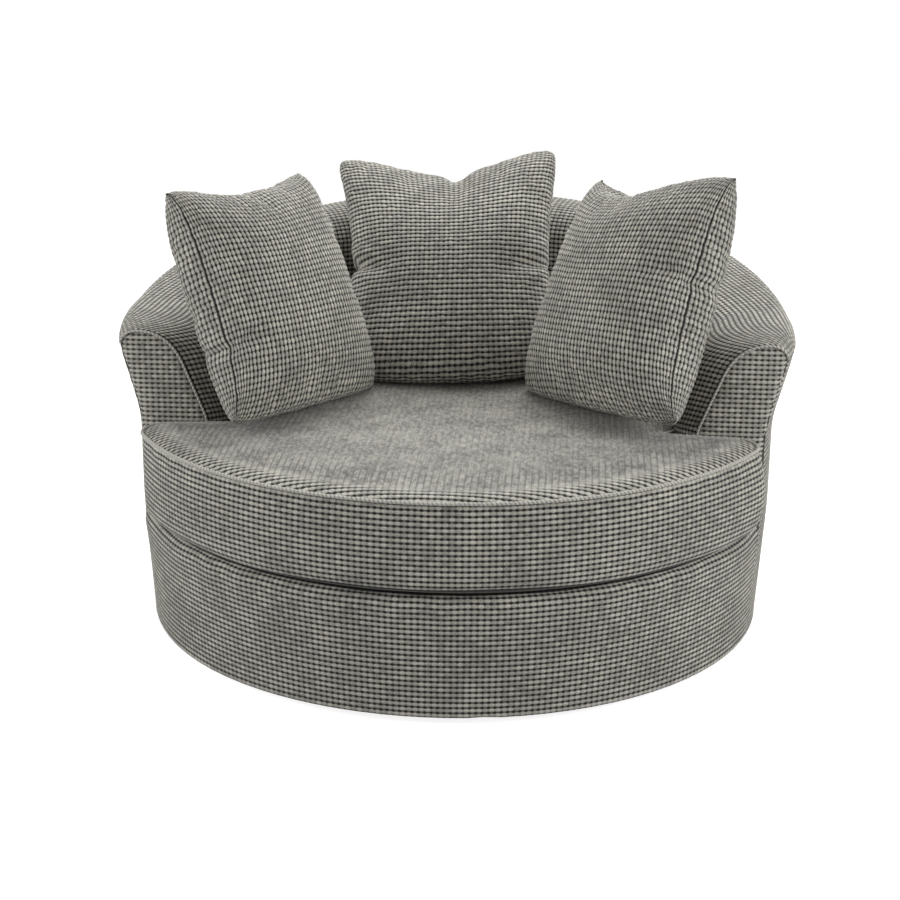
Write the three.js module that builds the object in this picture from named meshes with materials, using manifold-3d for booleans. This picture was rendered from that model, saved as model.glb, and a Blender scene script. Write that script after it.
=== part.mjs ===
// A round swivel cuddle chair: a drum base and a barrel back in foam-backed cloth over a plywood
// frame, with one T-shaped seat cushion and three loose scatter cushions.
// Lengths are millimetres. The front faces -Y and the swivel axis meets the floor at the origin.

import * as THREE from 'three';
import { mergeVertices } from 'three/addons/utils/BufferGeometryUtils.js';
import Module from 'manifold-3d';

const wasm = await Module();
wasm.setup();

// Outside of the covered chair: the drum tapers to its hem, and the barrel flares to its rim
const drumRadius = 651;
const hemTaper = 15;
const hemHeight = 15;
const deckHeight = 262;
const waistHeight = 450;
const armHeight = 626;
const backHeight = 769;
const rimFlare = 38;
const armFace = 190;

// Rolled rim, and the walls down to the waist and the deck
const rollWidth = 35;
const rollDrop = 30;
const shoulderReach = 89;
const shoulderDrop = 66;
const waistWall = 128;
const deckWall = 143;
const backPadding = 50;
const shoulderLean = 25;
const riseStartShare = 0.04;
const riseBendShare = 1.12;
const waistPaddingShare = 0.25;
const shoulderShares = [0.36, 0.7, 1];

// Layers of the covering, and the clearances between pieces
const coverThickness = 5;
const foamThickness = 28;
const bentBoardThickness = 3;
const fitGap = 0.3;
const layerGap = 0.4;
const ribEase = 1;
const cutOverrun = 2;
const barrelSteps = 12;
const drumSteps = 9;
const ringSteps = 40;

// Plywood frame
const boardThickness = 18;
const baseRingWidth = 151;
const deckRingWidth = 196;
const crossRailThickness = 25;
const crossRailWidth = 90;
const frontPostSize = 45;
const frontPostAngles = [-152, -90, -28];
const backRibSteps = [-10, -5, 0, 5, 10];
const topRailDrop = 38;

// Seat suspension
const wireDiameter = 4;
const springCount = 5;
const springPitchShare = 0.33;
const springWidth = 44;
const springLoop = 60;
const springSeat = 45;
const deckPadThickness = 8;
const deckCorner = 5;
const wireHalfSides = 2;
const wireBendSteps = 2;

// Front of the drum
const drumShoulder = 18;
const coverLip = 50;
const deckClearance = 10;
const shoulderArcShares = [0, 0.5, 1];

// Swivel plate, plinth and floor pad
const plinthRadius = 300;
const floorPadMargin = 10;
const floorPadThickness = 4;
const plateRadius = 150;
const plateBore = 60;
const plateThickness = 3;
const ballDiameter = 8;
const ballCount = 10;
const ballSides = 8;
const plateSteps = 32;
const cageWidth = 18;
const cageThickness = 2;
const screwMargin = 15;
const screwDiameter = 5;
const screwHeadDiameter = 10;
const screwHeadHeight = 2.5;
const screwGrip = 14;
const screwCount = 4;
const screwSides = 8;
const dustCoverLap = 70;
const dustCoverThickness = 0.8;

// Seat cushion
const seatOverhang = 13;
const seatBackGap = 22;
const earGap = 32;
const earCorner = 45;
const seatThickness = 175;
const seatCrown = 21;
const seatBulge = 7;
const seatBottomRound = 12;
const seatCentre = 300;
const rearArcSteps = 20;
const frontArcSteps = 26;
const earSteps = 4;
const crownScaleShares = [0.975, 0.9, 0.8];
const crownRiseShares = [0.4, 0.85, 1];

// Piping, zips and cushion walls
const pipingRadius = 5;
const pipingSides = 5;
const armPipingHalfSides = 3;
const armPipingPointSteps = 3;
const cushionWall = 3;
const seatZipLength = 520;
const zipWidth = 5;
const scatterZipLength = 300;
const zipDepth = 26;

// Scatter cushions of one pattern, cut a little narrower than the deck's radius so that they stand
// round it side by side. Each has its filling pushed about, so its width, height and half thickness
// are shares of the pattern's. Its foot stands in from the deck's edge by a share of its
// height, at an angle counted from +X. It turns, leans back and tips by degrees, and has a dent
// chopped into its top beside the middle.
const scatterMargin = 20;
const scatterExtraHeight = 17;
const scatterPlump = 100;
const scatterChop = 30;
const scatterEdge = 7;
const scatterGridSteps = 10;
const drawnShare = 0.05;
const plumpShare = 0.42;
const chopSpreadShare = 0.45;
const scatterCushions = [
  {
    name: 'left', sizeShares: [0.877, 0.927, 1.05], footAngle: -151.8, setbackShare: 0.343,
    turn: 61.5, lean: 25, tip: -3.4, chopDepthShare: 0.87, chopPlaceShare: -0.1,
  },
  {
    name: 'centre', sizeShares: [1, 1, 1], footAngle: 100.4, setbackShare: 0.632,
    turn: -1, lean: 38.5, tip: 3.6, chopDepthShare: 1, chopPlaceShare: 0.1,
  },
  {
    name: 'right', sizeShares: [0.926, 0.931, 1.05], footAngle: -27.7, setbackShare: 0.366,
    turn: -55, lean: 23, tip: 4, chopDepthShare: 0.87, chopPlaceShare: -0.35,
  },
];

// Radii, counted in from the drum
const hemRadius = drumRadius - hemTaper;
const rimRadius = drumRadius + rimFlare;
const innerWaistRadius = drumRadius - waistWall;
const innerDeckRadius = drumRadius - deckWall;
const baseRingInnerRadius = drumRadius - baseRingWidth;
const deckRingInnerRadius = drumRadius - deckRingWidth;
const springReach = deckRingInnerRadius + springSeat;
const dustCoverRadius = baseRingInnerRadius + dustCoverLap;
const floorPadRadius = plinthRadius - floorPadMargin;
const raceRadius = (plateRadius + plateBore) / 2;
const screwCircle = plateRadius - screwMargin;
const seatFrontRadius = drumRadius + seatOverhang;
const seatBackRadius = innerDeckRadius - seatBackGap;
const earBack = armFace + earGap;
const scatterWidth = innerDeckRadius - scatterMargin;
const scatterHeight = scatterWidth + scatterExtraHeight;

// Levels, counted up from the floor and down from the deck
const plinthBottom = floorPadThickness + fitGap;
const plinthTop = plinthBottom + boardThickness;
const lowerPlateBottom = plinthTop + fitGap;
const lowerPlateTop = lowerPlateBottom + plateThickness;
const ballCentre = lowerPlateTop + fitGap + ballDiameter / 2;
const upperPlateBottom = ballCentre + ballDiameter / 2 + fitGap;
const upperPlateTop = upperPlateBottom + plateThickness;
const crossRailBottom = upperPlateTop + fitGap;
const crossRailTop = crossRailBottom + crossRailThickness;
const baseRingBottom = crossRailTop + fitGap;
const baseRingTop = baseRingBottom + boardThickness;
const deckCoverBottom = deckHeight - coverThickness;
const deckPadTop = deckCoverBottom - fitGap;
const deckPadBottom = deckPadTop - deckPadThickness;
const wireTop = deckPadBottom - fitGap;
const deckRingTop = wireTop - wireDiameter - fitGap;
const deckRingBottom = deckRingTop - boardThickness;
const barrelFoot = deckRingTop + fitGap;
const seatBottom = deckHeight + fitGap;
const seatEdgeHeight = seatBottom + seatThickness;
const seatCrownHeight = seatEdgeHeight + seatCrown;
const boardInset = coverThickness + layerGap;
const frameInset = boardInset + bentBoardThickness + layerGap;

// Finishes
function chenille() {
  return new THREE.MeshStandardMaterial({ color: 0x8b877c, roughness: 0.95, metalness: 0 });
}

function pipingCloth() {
  return new THREE.MeshStandardMaterial({ color: 0x9a958a, roughness: 0.95, metalness: 0 });
}

function plywood() {
  return new THREE.MeshStandardMaterial({ color: 0xc8a878, roughness: 0.7, metalness: 0 });
}

function fibreboard() {
  return new THREE.MeshStandardMaterial({ color: 0x8f6d45, roughness: 0.8, metalness: 0 });
}

function foam() {
  return new THREE.MeshStandardMaterial({ color: 0xe6dcc0, roughness: 1, metalness: 0 });
}

function steel() {
  return new THREE.MeshStandardMaterial({ color: 0x9da0a3, roughness: 0.35, metalness: 1 });
}

function blackPlastic() {
  return new THREE.MeshStandardMaterial({ color: 0x2c2b2a, roughness: 0.6, metalness: 0 });
}

function rubber() {
  return new THREE.MeshStandardMaterial({ color: 0x232323, roughness: 0.9, metalness: 0 });
}

function liningCloth() {
  return new THREE.MeshStandardMaterial({ color: 0x3b3a38, roughness: 1, metalness: 0 });
}

// Turns every face outwards, whichever way the outline was drawn
function outward(geometry) {
  const position = geometry.getAttribute('position');
  const index = geometry.index.array;
  const a = new THREE.Vector3();
  const b = new THREE.Vector3();
  const c = new THREE.Vector3();
  let volume = 0;
  for (let i = 0; i < index.length; i += 3) {
    a.fromBufferAttribute(position, index[i]);
    b.fromBufferAttribute(position, index[i + 1]);
    c.fromBufferAttribute(position, index[i + 2]);
    volume += a.dot(b.cross(c));
  }
  if (volume < 0) {
    for (let i = 0; i < index.length; i += 3) {
      [index[i], index[i + 1]] = [index[i + 1], index[i]];
    }
  }
  return geometry;
}

function welded(geometry) {
  const bare = geometry.clone();
  bare.deleteAttribute('normal');
  bare.deleteAttribute('uv');
  return mergeVertices(bare);
}

function meshFrom(points, triangles) {
  const geometry = new THREE.BufferGeometry();
  const flat = points.flatMap((point) => [point.x, point.y, point.z]);
  geometry.setAttribute('position', new THREE.Float32BufferAttribute(flat, 3));
  geometry.setIndex(triangles);
  return outward(geometry);
}

function solidOf(geometry) {
  const bare = outward(welded(geometry));
  return new wasm.Manifold(new wasm.Mesh({
    numProp: 3,
    vertProperties: new Float32Array(bare.getAttribute('position').array),
    triVerts: new Uint32Array(bare.index.array),
  }));
}

function geometryOf(solid) {
  const mesh = solid.getMesh();
  const geometry = new THREE.BufferGeometry();
  const places = new Float32Array(mesh.vertProperties);
  geometry.setAttribute('position', new THREE.BufferAttribute(places, mesh.numProp));
  geometry.setIndex(new THREE.BufferAttribute(new Uint32Array(mesh.triVerts), 1));
  return geometry;
}

function cut(geometry, ...cutters) {
  const whole = solidOf(geometry);
  return geometryOf(cutters.reduce((solid, cutter) => solid.subtract(solidOf(cutter)), whole));
}

function join(geometry, ...others) {
  const whole = solidOf(geometry);
  return geometryOf(others.reduce((solid, other) => solid.add(solidOf(other)), whole));
}

function common(geometry, other) {
  return geometryOf(solidOf(geometry).intersect(solidOf(other)));
}

// Joins like-numbered points of a row of rings, each the same closed outline. Every quad is split
// from its lower corner upwards, so that layers that follow each other bend alike.
function quadsBetween(rings, count, climbs = () => true) {
  const triangles = [];
  for (let i = 0; i + 1 < rings; i += 1) {
    for (let j = 0; j < count; j += 1) {
      const next = (j + 1) % count;
      const here = i * count;
      const there = here + count;
      if (climbs(j, next)) {
        triangles.push(here + j, here + next, there + next);
        triangles.push(here + j, there + next, there + j);
      } else {
        triangles.push(here + j, here + next, there + j);
        triangles.push(here + next, there + next, there + j);
      }
    }
  }
  return triangles;
}

// A body through a row of closed outlines, shut by a flat face at each end
function lofted(rings, section) {
  const count = rings[0].length;
  const triangles = quadsBetween(rings.length, count, (j, next) => {
    const climb = section[next].y - section[j].y;
    return climb === 0 ? section[next].x > section[j].x : climb > 0;
  });
  const last = (rings.length - 1) * count;
  for (const [a, b, c] of THREE.ShapeUtils.triangulateShape(section, [])) {
    triangles.push(a, c, b);
    triangles.push(last + a, last + b, last + c);
  }
  return meshFrom(rings.flat(), triangles);
}

// A body through a row of closed outlines, gathered to a point at each end
function gathered(rings, start, end) {
  const count = rings[0].length;
  const triangles = quadsBetween(rings.length, count);
  const first = rings.length * count;
  const last = first - count;
  for (let j = 0; j < count; j += 1) {
    const next = (j + 1) % count;
    triangles.push(first, next, j);
    triangles.push(first + 1, last + j, last + next);
  }
  return meshFrom([...rings.flat(), start, end], triangles);
}

// A round cord closed on itself, along a level loop
function cordLoop(points, radius, sides) {
  const rings = points.map((point, i) => {
    const before = points[(i + points.length - 1) % points.length];
    const after = points[(i + 1) % points.length];
    const along = after.clone().sub(before).normalize();
    const out = new THREE.Vector3(along.y, -along.x, 0);
    return Array.from({ length: sides }, (_, j) => {
      const angle = 2 * Math.PI * j / sides;
      const place = point.clone().addScaledVector(out, radius * Math.cos(angle));
      place.z += radius * Math.sin(angle);
      return place;
    });
  });
  const total = rings.length * sides;
  return meshFrom(rings.flat(), quadsBetween(rings.length + 1, sides).map((i) => i % total));
}

// A round cord along an open curve
function cord(points, radius, halfSides, steps) {
  const outline = new THREE.Shape();
  outline.absarc(0, 0, radius, 0, 2 * Math.PI, false);
  const path = new THREE.CatmullRomCurve3(points, false, 'centripetal');
  return new THREE.ExtrudeGeometry(outline, { extrudePath: path, steps, curveSegments: halfSides });
}

// A flat board of an outline in plan, from one level to another
function slab(outline, bottom, top) {
  const shape = outline instanceof THREE.Shape ? outline : new THREE.Shape(outline);
  const geometry = new THREE.ExtrudeGeometry(shape, { depth: top - bottom, bevelEnabled: false });
  return geometry.translate(0, 0, bottom);
}

// A board standing in a plane across the chair: its outline is (x, z), and it runs forwards
function standing(outline, back, thickness) {
  const shape = new THREE.Shape(outline);
  const geometry = new THREE.ExtrudeGeometry(shape, { depth: thickness, bevelEnabled: false });
  return geometry.rotateX(Math.PI / 2).translate(0, back, 0);
}

function turned(profile, steps) {
  const closed = [...profile, profile[0]].map(([radius, height]) => new THREE.Vector2(radius, height));
  return new THREE.LatheGeometry(closed, steps).rotateX(Math.PI / 2);
}

function flatRing(inner, outer, bottom, top, steps) {
  return turned([[inner, bottom], [outer, bottom], [outer, top], [inner, top]], steps);
}

function disc(radius, bottom, top, steps) {
  return new THREE.CylinderGeometry(radius, radius, top - bottom, steps)
    .rotateX(Math.PI / 2)
    .translate(0, 0, (bottom + top) / 2);
}

function box(low, high) {
  const size = high.clone().sub(low);
  const middle = low.clone().add(high).multiplyScalar(0.5);
  return new THREE.BoxGeometry(size.x, size.y, size.z).translate(middle.x, middle.y, middle.z);
}

function mirrored(geometry) {
  return outward(welded(geometry).scale(-1, 1, 1));
}

const chair = new THREE.Group();

function add(name, geometry, material, parent = chair) {
  const mesh = new THREE.Mesh(geometry, material);
  mesh.name = name;
  parent.add(mesh);
  return mesh;
}

// The barrel. Its skin is one line from the hem up the outside, over the rolled rim and down the
// inside to the deck, drawn for a rise from 0 at the arms to 1 at the back.
const rollStartIndex = 4;
const railIndex = 3;
const shoulderEndIndex = 9;

function skinLine(rise) {
  const top = armHeight + (backHeight - armHeight) * rise;
  const padding = backPadding * rise;
  const rollCentre = rimRadius - rollWidth;
  const flareEnd = top - rollDrop;
  const railHeight = top - topRailDrop;
  const flareShare = (railHeight - waistHeight) / (flareEnd - waistHeight);
  const shoulder = new THREE.QuadraticBezierCurve(
    new THREE.Vector2(rollCentre, top),
    new THREE.Vector2(rollCentre - shoulderReach - padding + shoulderLean, top),
    new THREE.Vector2(rollCentre - shoulderReach - padding, top - shoulderDrop),
  );
  return [
    new THREE.Vector2(hemRadius, hemHeight),
    new THREE.Vector2(drumRadius, deckHeight),
    new THREE.Vector2(drumRadius, waistHeight),
    new THREE.Vector2(drumRadius + (rimRadius - drumRadius) * flareShare, railHeight),
    new THREE.Vector2(rimRadius, flareEnd),
    new THREE.Vector2(rollCentre + rollWidth * Math.SQRT1_2, flareEnd + rollDrop * Math.SQRT1_2),
    new THREE.Vector2(rollCentre, top),
    ...shoulderShares.map((share) => shoulder.getPoint(share)),
    new THREE.Vector2(innerWaistRadius - padding * waistPaddingShare, waistHeight),
    new THREE.Vector2(innerDeckRadius, barrelFoot),
  ];
}

// The line moved inwards, square to itself at each point
function insetLine(line, distance) {
  return line.map((point, i) => {
    const before = line[Math.max(i - 1, 0)].clone();
    const after = line[Math.min(i + 1, line.length - 1)].clone();
    const back = point.clone().sub(i > 0 ? before : after).normalize();
    const on = after.clone().sub(i < line.length - 1 ? point : before).normalize();
    if (i === 0) {
      back.negate();
    }
    const inwards = new THREE.Vector2(-back.y - on.y, back.x + on.x).normalize();
    const square = new THREE.Vector2(-on.y, on.x);
    return point.clone().addScaledVector(inwards, distance / inwards.dot(square));
  });
}

// The radius of the outside at a height, between the hem and the start of the roll
function outerRadiusAt(line, height) {
  for (let i = 0; i < rollStartIndex; i += 1) {
    const low = line[i];
    const high = line[i + 1];
    if (height >= low.y && height <= high.y) {
      return low.x + (high.x - low.x) * (height - low.y) / (high.y - low.y);
    }
  }
  return height < line[0].y ? line[0].x : line[rollStartIndex].x;
}

// A place on the barrel: share 0 is the middle of the back and 1 or -1 the flat end of an arm
function sweepAngle(radius, share) {
  return share * (Math.PI / 2 + Math.asin(armFace / radius));
}

// The rim is level along each arm, then climbs quickly and eases off towards the back
function riseAt(share) {
  const turnShare = 1 - sweepAngle(rimRadius, Math.abs(share)) / (Math.PI / 2);
  const climbShare = THREE.MathUtils.clamp((turnShare - riseStartShare) / (1 - riseStartShare), 0, 1);
  return Math.sin(climbShare ** riseBendShare * Math.PI / 2);
}

function onBarrel({ x: radius, y: height }, share) {
  const angle = sweepAngle(radius, share);
  return new THREE.Vector3(radius * Math.sin(angle), radius * Math.cos(angle), height);
}

const stations = Array.from({ length: 2 * barrelSteps + 1 }, (_, i) => i / barrelSteps - 1);
const halfStep = sweepAngle(drumRadius, 1) / barrelSteps / 2;

function barrelLayer(sectionFor) {
  const rings = stations.map((share) => {
    return sectionFor(skinLine(riseAt(share))).map((point) => onBarrel(point, share));
  });
  return lofted(rings, sectionFor(skinLine(0)));
}

function lowered(point, height) {
  return new THREE.Vector2(point.x, height);
}

function outsideCoverSection(skin) {
  const face = skin.slice(0, rollStartIndex + 1);
  const lining = insetLine(skin, coverThickness).slice(0, rollStartIndex + 1);
  for (const line of [face, lining]) {
    line[rollStartIndex] = lowered(line[rollStartIndex], line[rollStartIndex].y - layerGap);
    line[0] = lowered(line[0], hemHeight);
  }
  return [...face, ...lining.reverse()];
}

function insideCoverSection(skin) {
  const face = skin.slice(rollStartIndex);
  const lining = insetLine(skin, coverThickness).slice(rollStartIndex);
  lining[lining.length - 1] = lowered(lining[lining.length - 1], barrelFoot);
  return [...face, ...lining.reverse()];
}

function outsideBoardSection(skin) {
  const face = insetLine(skin, boardInset).slice(0, railIndex + 1);
  const back = insetLine(skin, boardInset + bentBoardThickness).slice(0, railIndex + 1);
  const top = face[railIndex].y - layerGap;
  for (const line of [face, back]) {
    line[railIndex] = lowered(line[railIndex], top);
    line[0] = lowered(line[0], hemHeight + cutOverrun);
  }
  return [...face, ...back.reverse()];
}

// The back of the inside foam, from the rail down to the deck
function foamBack(skin) {
  const face = insetLine(skin, boardInset);
  const top = face[railIndex].y;
  const shoulder = face[shoulderEndIndex].x + foamThickness;
  const back = face.slice(shoulderEndIndex).map((point) => {
    return new THREE.Vector2(point.x + foamThickness, point.y);
  });
  back[back.length - 1].y = barrelFoot;
  return [new THREE.Vector2(shoulder, top), ...back];
}

function insideFoamSection(skin) {
  const face = insetLine(skin, boardInset).slice(railIndex);
  face[face.length - 1] = lowered(face[face.length - 1], barrelFoot);
  return [...face, ...foamBack(skin).reverse()];
}

function railTopOf(skin) {
  return insetLine(skin, boardInset)[railIndex].y - layerGap;
}

function topRailSection(skin) {
  const frame = insetLine(skin, frameInset);
  const top = railTopOf(skin);
  const bottom = top - boardThickness;
  const inner = foamBack(skin)[0].x + layerGap;
  return [
    new THREE.Vector2(inner, bottom),
    new THREE.Vector2(outerRadiusAt(frame, bottom), bottom),
    new THREE.Vector2(outerRadiusAt(frame, top), top),
    new THREE.Vector2(inner, top),
  ];
}

add('outside_cover', barrelLayer(outsideCoverSection), chenille());
add('inside_cover', barrelLayer(insideCoverSection), chenille());
add('inside_foam', barrelLayer(insideFoamSection), foam());
add('outside_board', barrelLayer(outsideBoardSection), fibreboard());
add('top_rail', barrelLayer(topRailSection), plywood());

// Plywood rings: the base ring on the cross rails, and the deck ring that holds the springs
function ringRadius(height) {
  const frame = insetLine(skinLine(0), frameInset);
  return outerRadiusAt(frame, height) * Math.cos(halfStep) - layerGap;
}

// The outline of a rib between the foam and the outside board, in its own upright plane
function ribOutline(skin) {
  const frame = insetLine(skin, frameInset);
  const top = railTopOf(skin) - boardThickness - ribEase;
  const back = foamBack(skin);
  const facet = Math.cos(halfStep);
  const outer = [baseRingTop + fitGap, deckHeight, waistHeight, top].map((height) => {
    return new THREE.Vector2(outerRadiusAt(frame, height) * facet - layerGap, height);
  });
  const inner = [
    lowered(back[0], top),
    ...back.slice(1, -1),
    lowered(back[back.length - 1], baseRingTop + fitGap),
  ];
  return [...outer, ...inner.map((point) => new THREE.Vector2(point.x + ribEase, point.y))];
}

// Ribs stand on the base ring, pass the deck ring through open slots and carry the top rail.
// The height at a rib's lower side clears the sloping rail.
const ribSlots = [];
backRibSteps.forEach((step, i) => {
  const share = step / barrelSteps;
  const angle = sweepAngle(drumRadius, share);
  const sideShare = boardThickness / drumRadius / sweepAngle(drumRadius, 1);
  const outline = ribOutline(skinLine(riseAt(Math.abs(share) + sideShare)));
  const rib = standing(outline, boardThickness / 2, boardThickness).rotateZ(Math.PI / 2 - angle);
  add(`back_rib_${i + 1}`, rib, plywood());
  const slotSide = boardThickness / 2 + fitGap;
  const slotEnd = outline[outline.length - 1].x - fitGap;
  const slot = box(
    new THREE.Vector3(slotEnd, -slotSide, deckRingBottom - cutOverrun),
    new THREE.Vector3(drumRadius, slotSide, deckRingTop + cutOverrun),
  );
  ribSlots.push(slot.rotateZ(Math.PI / 2 - angle));
});

const baseRing = flatRing(
  baseRingInnerRadius, ringRadius(baseRingBottom), baseRingBottom, baseRingTop, ringSteps,
);
const deckRing = flatRing(
  deckRingInnerRadius, ringRadius(deckRingBottom), deckRingBottom, deckRingTop, ringSteps,
);
add('base_ring', baseRing, plywood());
add('deck_ring', cut(deckRing, ...ribSlots), plywood());

frontPostAngles.forEach((degrees, i) => {
  const middle = ringRadius(baseRingBottom) - frontPostSize;
  const post = box(
    new THREE.Vector3(middle - frontPostSize / 2, -frontPostSize / 2, baseRingTop + fitGap),
    new THREE.Vector3(middle + frontPostSize / 2, frontPostSize / 2, deckRingBottom - fitGap),
  );
  add(`front_post_${i + 1}`, post.rotateZ(THREE.MathUtils.degToRad(degrees)), plywood());
});

// A radius of the barrel's end, as the distance from the middle in the plane of the arm's face
function acrossAt(radius, depth) {
  return Math.sqrt(radius * radius - depth * depth);
}

// Arm boards stand on the deck ring just inside the flat ends of the barrel
function armBoard() {
  const skin = skinLine(0);
  const frame = insetLine(skin, frameInset);
  const front = armFace - ribEase;
  const rear = front - boardThickness;
  const top = railTopOf(skin) - boardThickness - ribEase;
  const outer = [barrelFoot, waistHeight, top].map((height) => {
    return new THREE.Vector2(acrossAt(outerRadiusAt(frame, height), front) - 2 * ribEase, height);
  });
  const back = foamBack(skin);
  const inner = [lowered(back[0], top), ...back.slice(1)].map((point) => {
    return new THREE.Vector2(acrossAt(point.x, rear) + ribEase, point.y);
  });
  return standing([...outer, ...inner], -rear, boardThickness);
}

add('arm_board_right', armBoard(), plywood());
add('arm_board_left', mirrored(armBoard()), plywood());

// Arm facings close the ends of the barrel, edged with piping over the top and down the inside
const facingBack = armFace + fitGap;

function armFacing() {
  const edge = insetLine(skinLine(0), 2 * pipingRadius + layerGap);
  const outline = edge.slice(1).map((point) => {
    return new THREE.Vector2(acrossAt(point.x, armFace), point.y);
  });
  outline[0].y = seatBottom;
  outline[outline.length - 1].y = seatBottom;
  return standing(outline, -facingBack, 2 * pipingRadius);
}

function armPiping() {
  const line = insetLine(skinLine(0), pipingRadius).slice(rollStartIndex);
  line[line.length - 1].y = seatBottom + pipingRadius;
  const middle = -facingBack - pipingRadius;
  const points = line.map((point) => new THREE.Vector3(acrossAt(point.x, armFace), middle, point.y));
  return cord(points, pipingRadius, armPipingHalfSides, armPipingPointSteps * points.length);
}

add('arm_facing_right', armFacing(), chenille());
add('arm_facing_left', mirrored(armFacing()), chenille());
add('arm_piping_right', armPiping(), pipingCloth());
add('arm_piping_left', mirrored(armPiping()), pipingCloth());

// The front of the drum: one cover from the hem, over the padded shoulder, to a lip on the deck
const drumFace = armFace + fitGap;

function onDrum({ x: radius, y: height }, share) {
  const angle = share * (Math.PI / 2 - Math.asin(drumFace / radius));
  return new THREE.Vector3(radius * Math.sin(angle), -radius * Math.cos(angle), height);
}

function drumLayer(section) {
  const rings = Array.from({ length: 2 * drumSteps + 1 }, (_, i) => {
    return section.map((point) => onDrum(point, i / drumSteps - 1));
  });
  return lofted(rings, section);
}

function shoulderArc(radius) {
  const middle = new THREE.Vector2(drumRadius - drumShoulder, deckHeight - drumShoulder);
  return shoulderArcShares.map((share) => {
    const angle = share * Math.PI / 2;
    return new THREE.Vector2(middle.x + radius * Math.cos(angle), middle.y + radius * Math.sin(angle));
  });
}

const lipRadius = drumRadius - coverLip;
const drumCoverSection = [
  new THREE.Vector2(hemRadius - coverThickness, hemHeight),
  new THREE.Vector2(hemRadius, hemHeight),
  ...shoulderArc(drumShoulder),
  new THREE.Vector2(lipRadius, deckHeight),
  new THREE.Vector2(lipRadius, deckCoverBottom),
  ...shoulderArc(drumShoulder - coverThickness).reverse(),
];
const boardTop = deckHeight - drumShoulder - layerGap;
const frontBoardSection = [
  new THREE.Vector2(hemRadius - boardInset - bentBoardThickness, hemHeight + cutOverrun),
  new THREE.Vector2(hemRadius - boardInset, hemHeight + cutOverrun),
  new THREE.Vector2(drumRadius - boardInset, boardTop),
  new THREE.Vector2(drumRadius - boardInset - bentBoardThickness, boardTop),
];
add('drum_cover', drumLayer(drumCoverSection), chenille());
add('front_board', drumLayer(frontBoardSection), fibreboard());

// Plan outlines of the T-shaped deck and seat: wide in front of the arms, narrow between them
function arcPoints(x, y, radius, from, to, steps) {
  return Array.from({ length: steps + 1 }, (_, i) => {
    const angle = from + (to - from) * i / steps;
    return new THREE.Vector2(x + radius * Math.cos(angle), y + radius * Math.sin(angle));
  });
}

function seatOutline(frontRadius, backRadius, earLine, corner) {
  const notch = -Math.asin(earLine / backRadius);
  const earY = -(earLine + corner);
  const earX = acrossAt(frontRadius - corner, earY);
  const tangent = Math.asin(-earY / (frontRadius - corner));
  const front = arcPoints(0, 0, frontRadius, Math.PI + tangent, 2 * Math.PI - tangent, frontArcSteps);
  return [
    ...arcPoints(0, 0, backRadius, notch, Math.PI - notch, rearArcSteps),
    ...arcPoints(-earX, earY, corner, Math.PI / 2, Math.PI + tangent, earSteps),
    ...front.slice(1, -1),
    ...arcPoints(earX, earY, corner, -tangent, Math.PI / 2, earSteps),
  ];
}

const deckBackRadius = innerDeckRadius - deckClearance;
const deckEarLine = drumFace + fitGap;
const padRadius = drumRadius - drumShoulder - coverThickness;
const padOutline = seatOutline(padRadius, deckBackRadius, deckEarLine, deckCorner);
const lipFacet = Math.acos(drumFace / lipRadius) / drumSteps / 2;
const clothRadius = lipRadius * Math.cos(lipFacet) - layerGap;
const clothOutline = seatOutline(clothRadius, deckBackRadius, deckEarLine, deckCorner);
add('deck_pad', slab(padOutline, deckPadBottom, deckPadTop), foam());
add('deck_cloth', slab(clothOutline, deckCoverBottom, deckHeight), liningCloth());

// Sinuous springs of bent wire run from front to back on the deck ring
function seatSpring(x) {
  const reach = acrossAt(springReach, Math.abs(x) + springWidth / 2) - wireDiameter;
  const loops = 2 * Math.floor(reach / springLoop);
  const half = reach / loops;
  const points = [];
  for (let i = 0; i < loops; i += 1) {
    const y = -reach + (2 * i + 1) * half;
    const side = i % 2 === 0 ? springWidth / 2 : -springWidth / 2;
    points.push(new THREE.Vector3(x - side, y - half, deckRingTop + fitGap + wireDiameter / 2));
    points.push(new THREE.Vector3(x + side, y - half, deckRingTop + fitGap + wireDiameter / 2));
  }
  return cord(points, wireDiameter / 2, wireHalfSides, wireBendSteps * points.length);
}

for (let i = 0; i < springCount; i += 1) {
  const x = (i - (springCount - 1) / 2) * springPitchShare * deckRingInnerRadius;
  add(`seat_spring_${i + 1}`, seatSpring(x), steel());
}

// Cross rails under the base ring, and the cloth that closes the bottom round the swivel
const screwOffset = screwCircle * Math.SQRT1_2;
const screwPlaces = Array.from({ length: screwCount }, (_, i) => {
  const angle = Math.PI / 4 + 2 * Math.PI * i / screwCount;
  return new THREE.Vector2(screwCircle * Math.cos(angle), screwCircle * Math.sin(angle));
});

function screwHoles(bottom, top) {
  const radius = screwDiameter / 2 + fitGap;
  return screwPlaces.map((place) => {
    return disc(radius, bottom, top, screwSides).translate(place.x, place.y, 0);
  });
}

function crossRail(side) {
  const inner = screwOffset - crossRailWidth / 2;
  const outer = screwOffset + crossRailWidth / 2;
  const reach = acrossAt(ringRadius(crossRailBottom), outer);
  const rail = box(
    new THREE.Vector3(side > 0 ? inner : -outer, -reach, crossRailBottom),
    new THREE.Vector3(side > 0 ? outer : -inner, reach, crossRailTop),
  );
  return cut(rail, ...screwHoles(crossRailBottom - cutOverrun, crossRailBottom + screwGrip + fitGap));
}

add('cross_rail_left', crossRail(-1), plywood());
add('cross_rail_right', crossRail(1), plywood());
const dustCoverTop = crossRailBottom - fitGap;
const dustCover = flatRing(
  plateRadius + ribEase, dustCoverRadius, dustCoverTop - dustCoverThickness, dustCoverTop, ringSteps,
);
add('dust_cover', dustCover, liningCloth());

// Swivel: two steel plates with a ring of caged balls between them
const cageSteps = 2 * ballCount;

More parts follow.
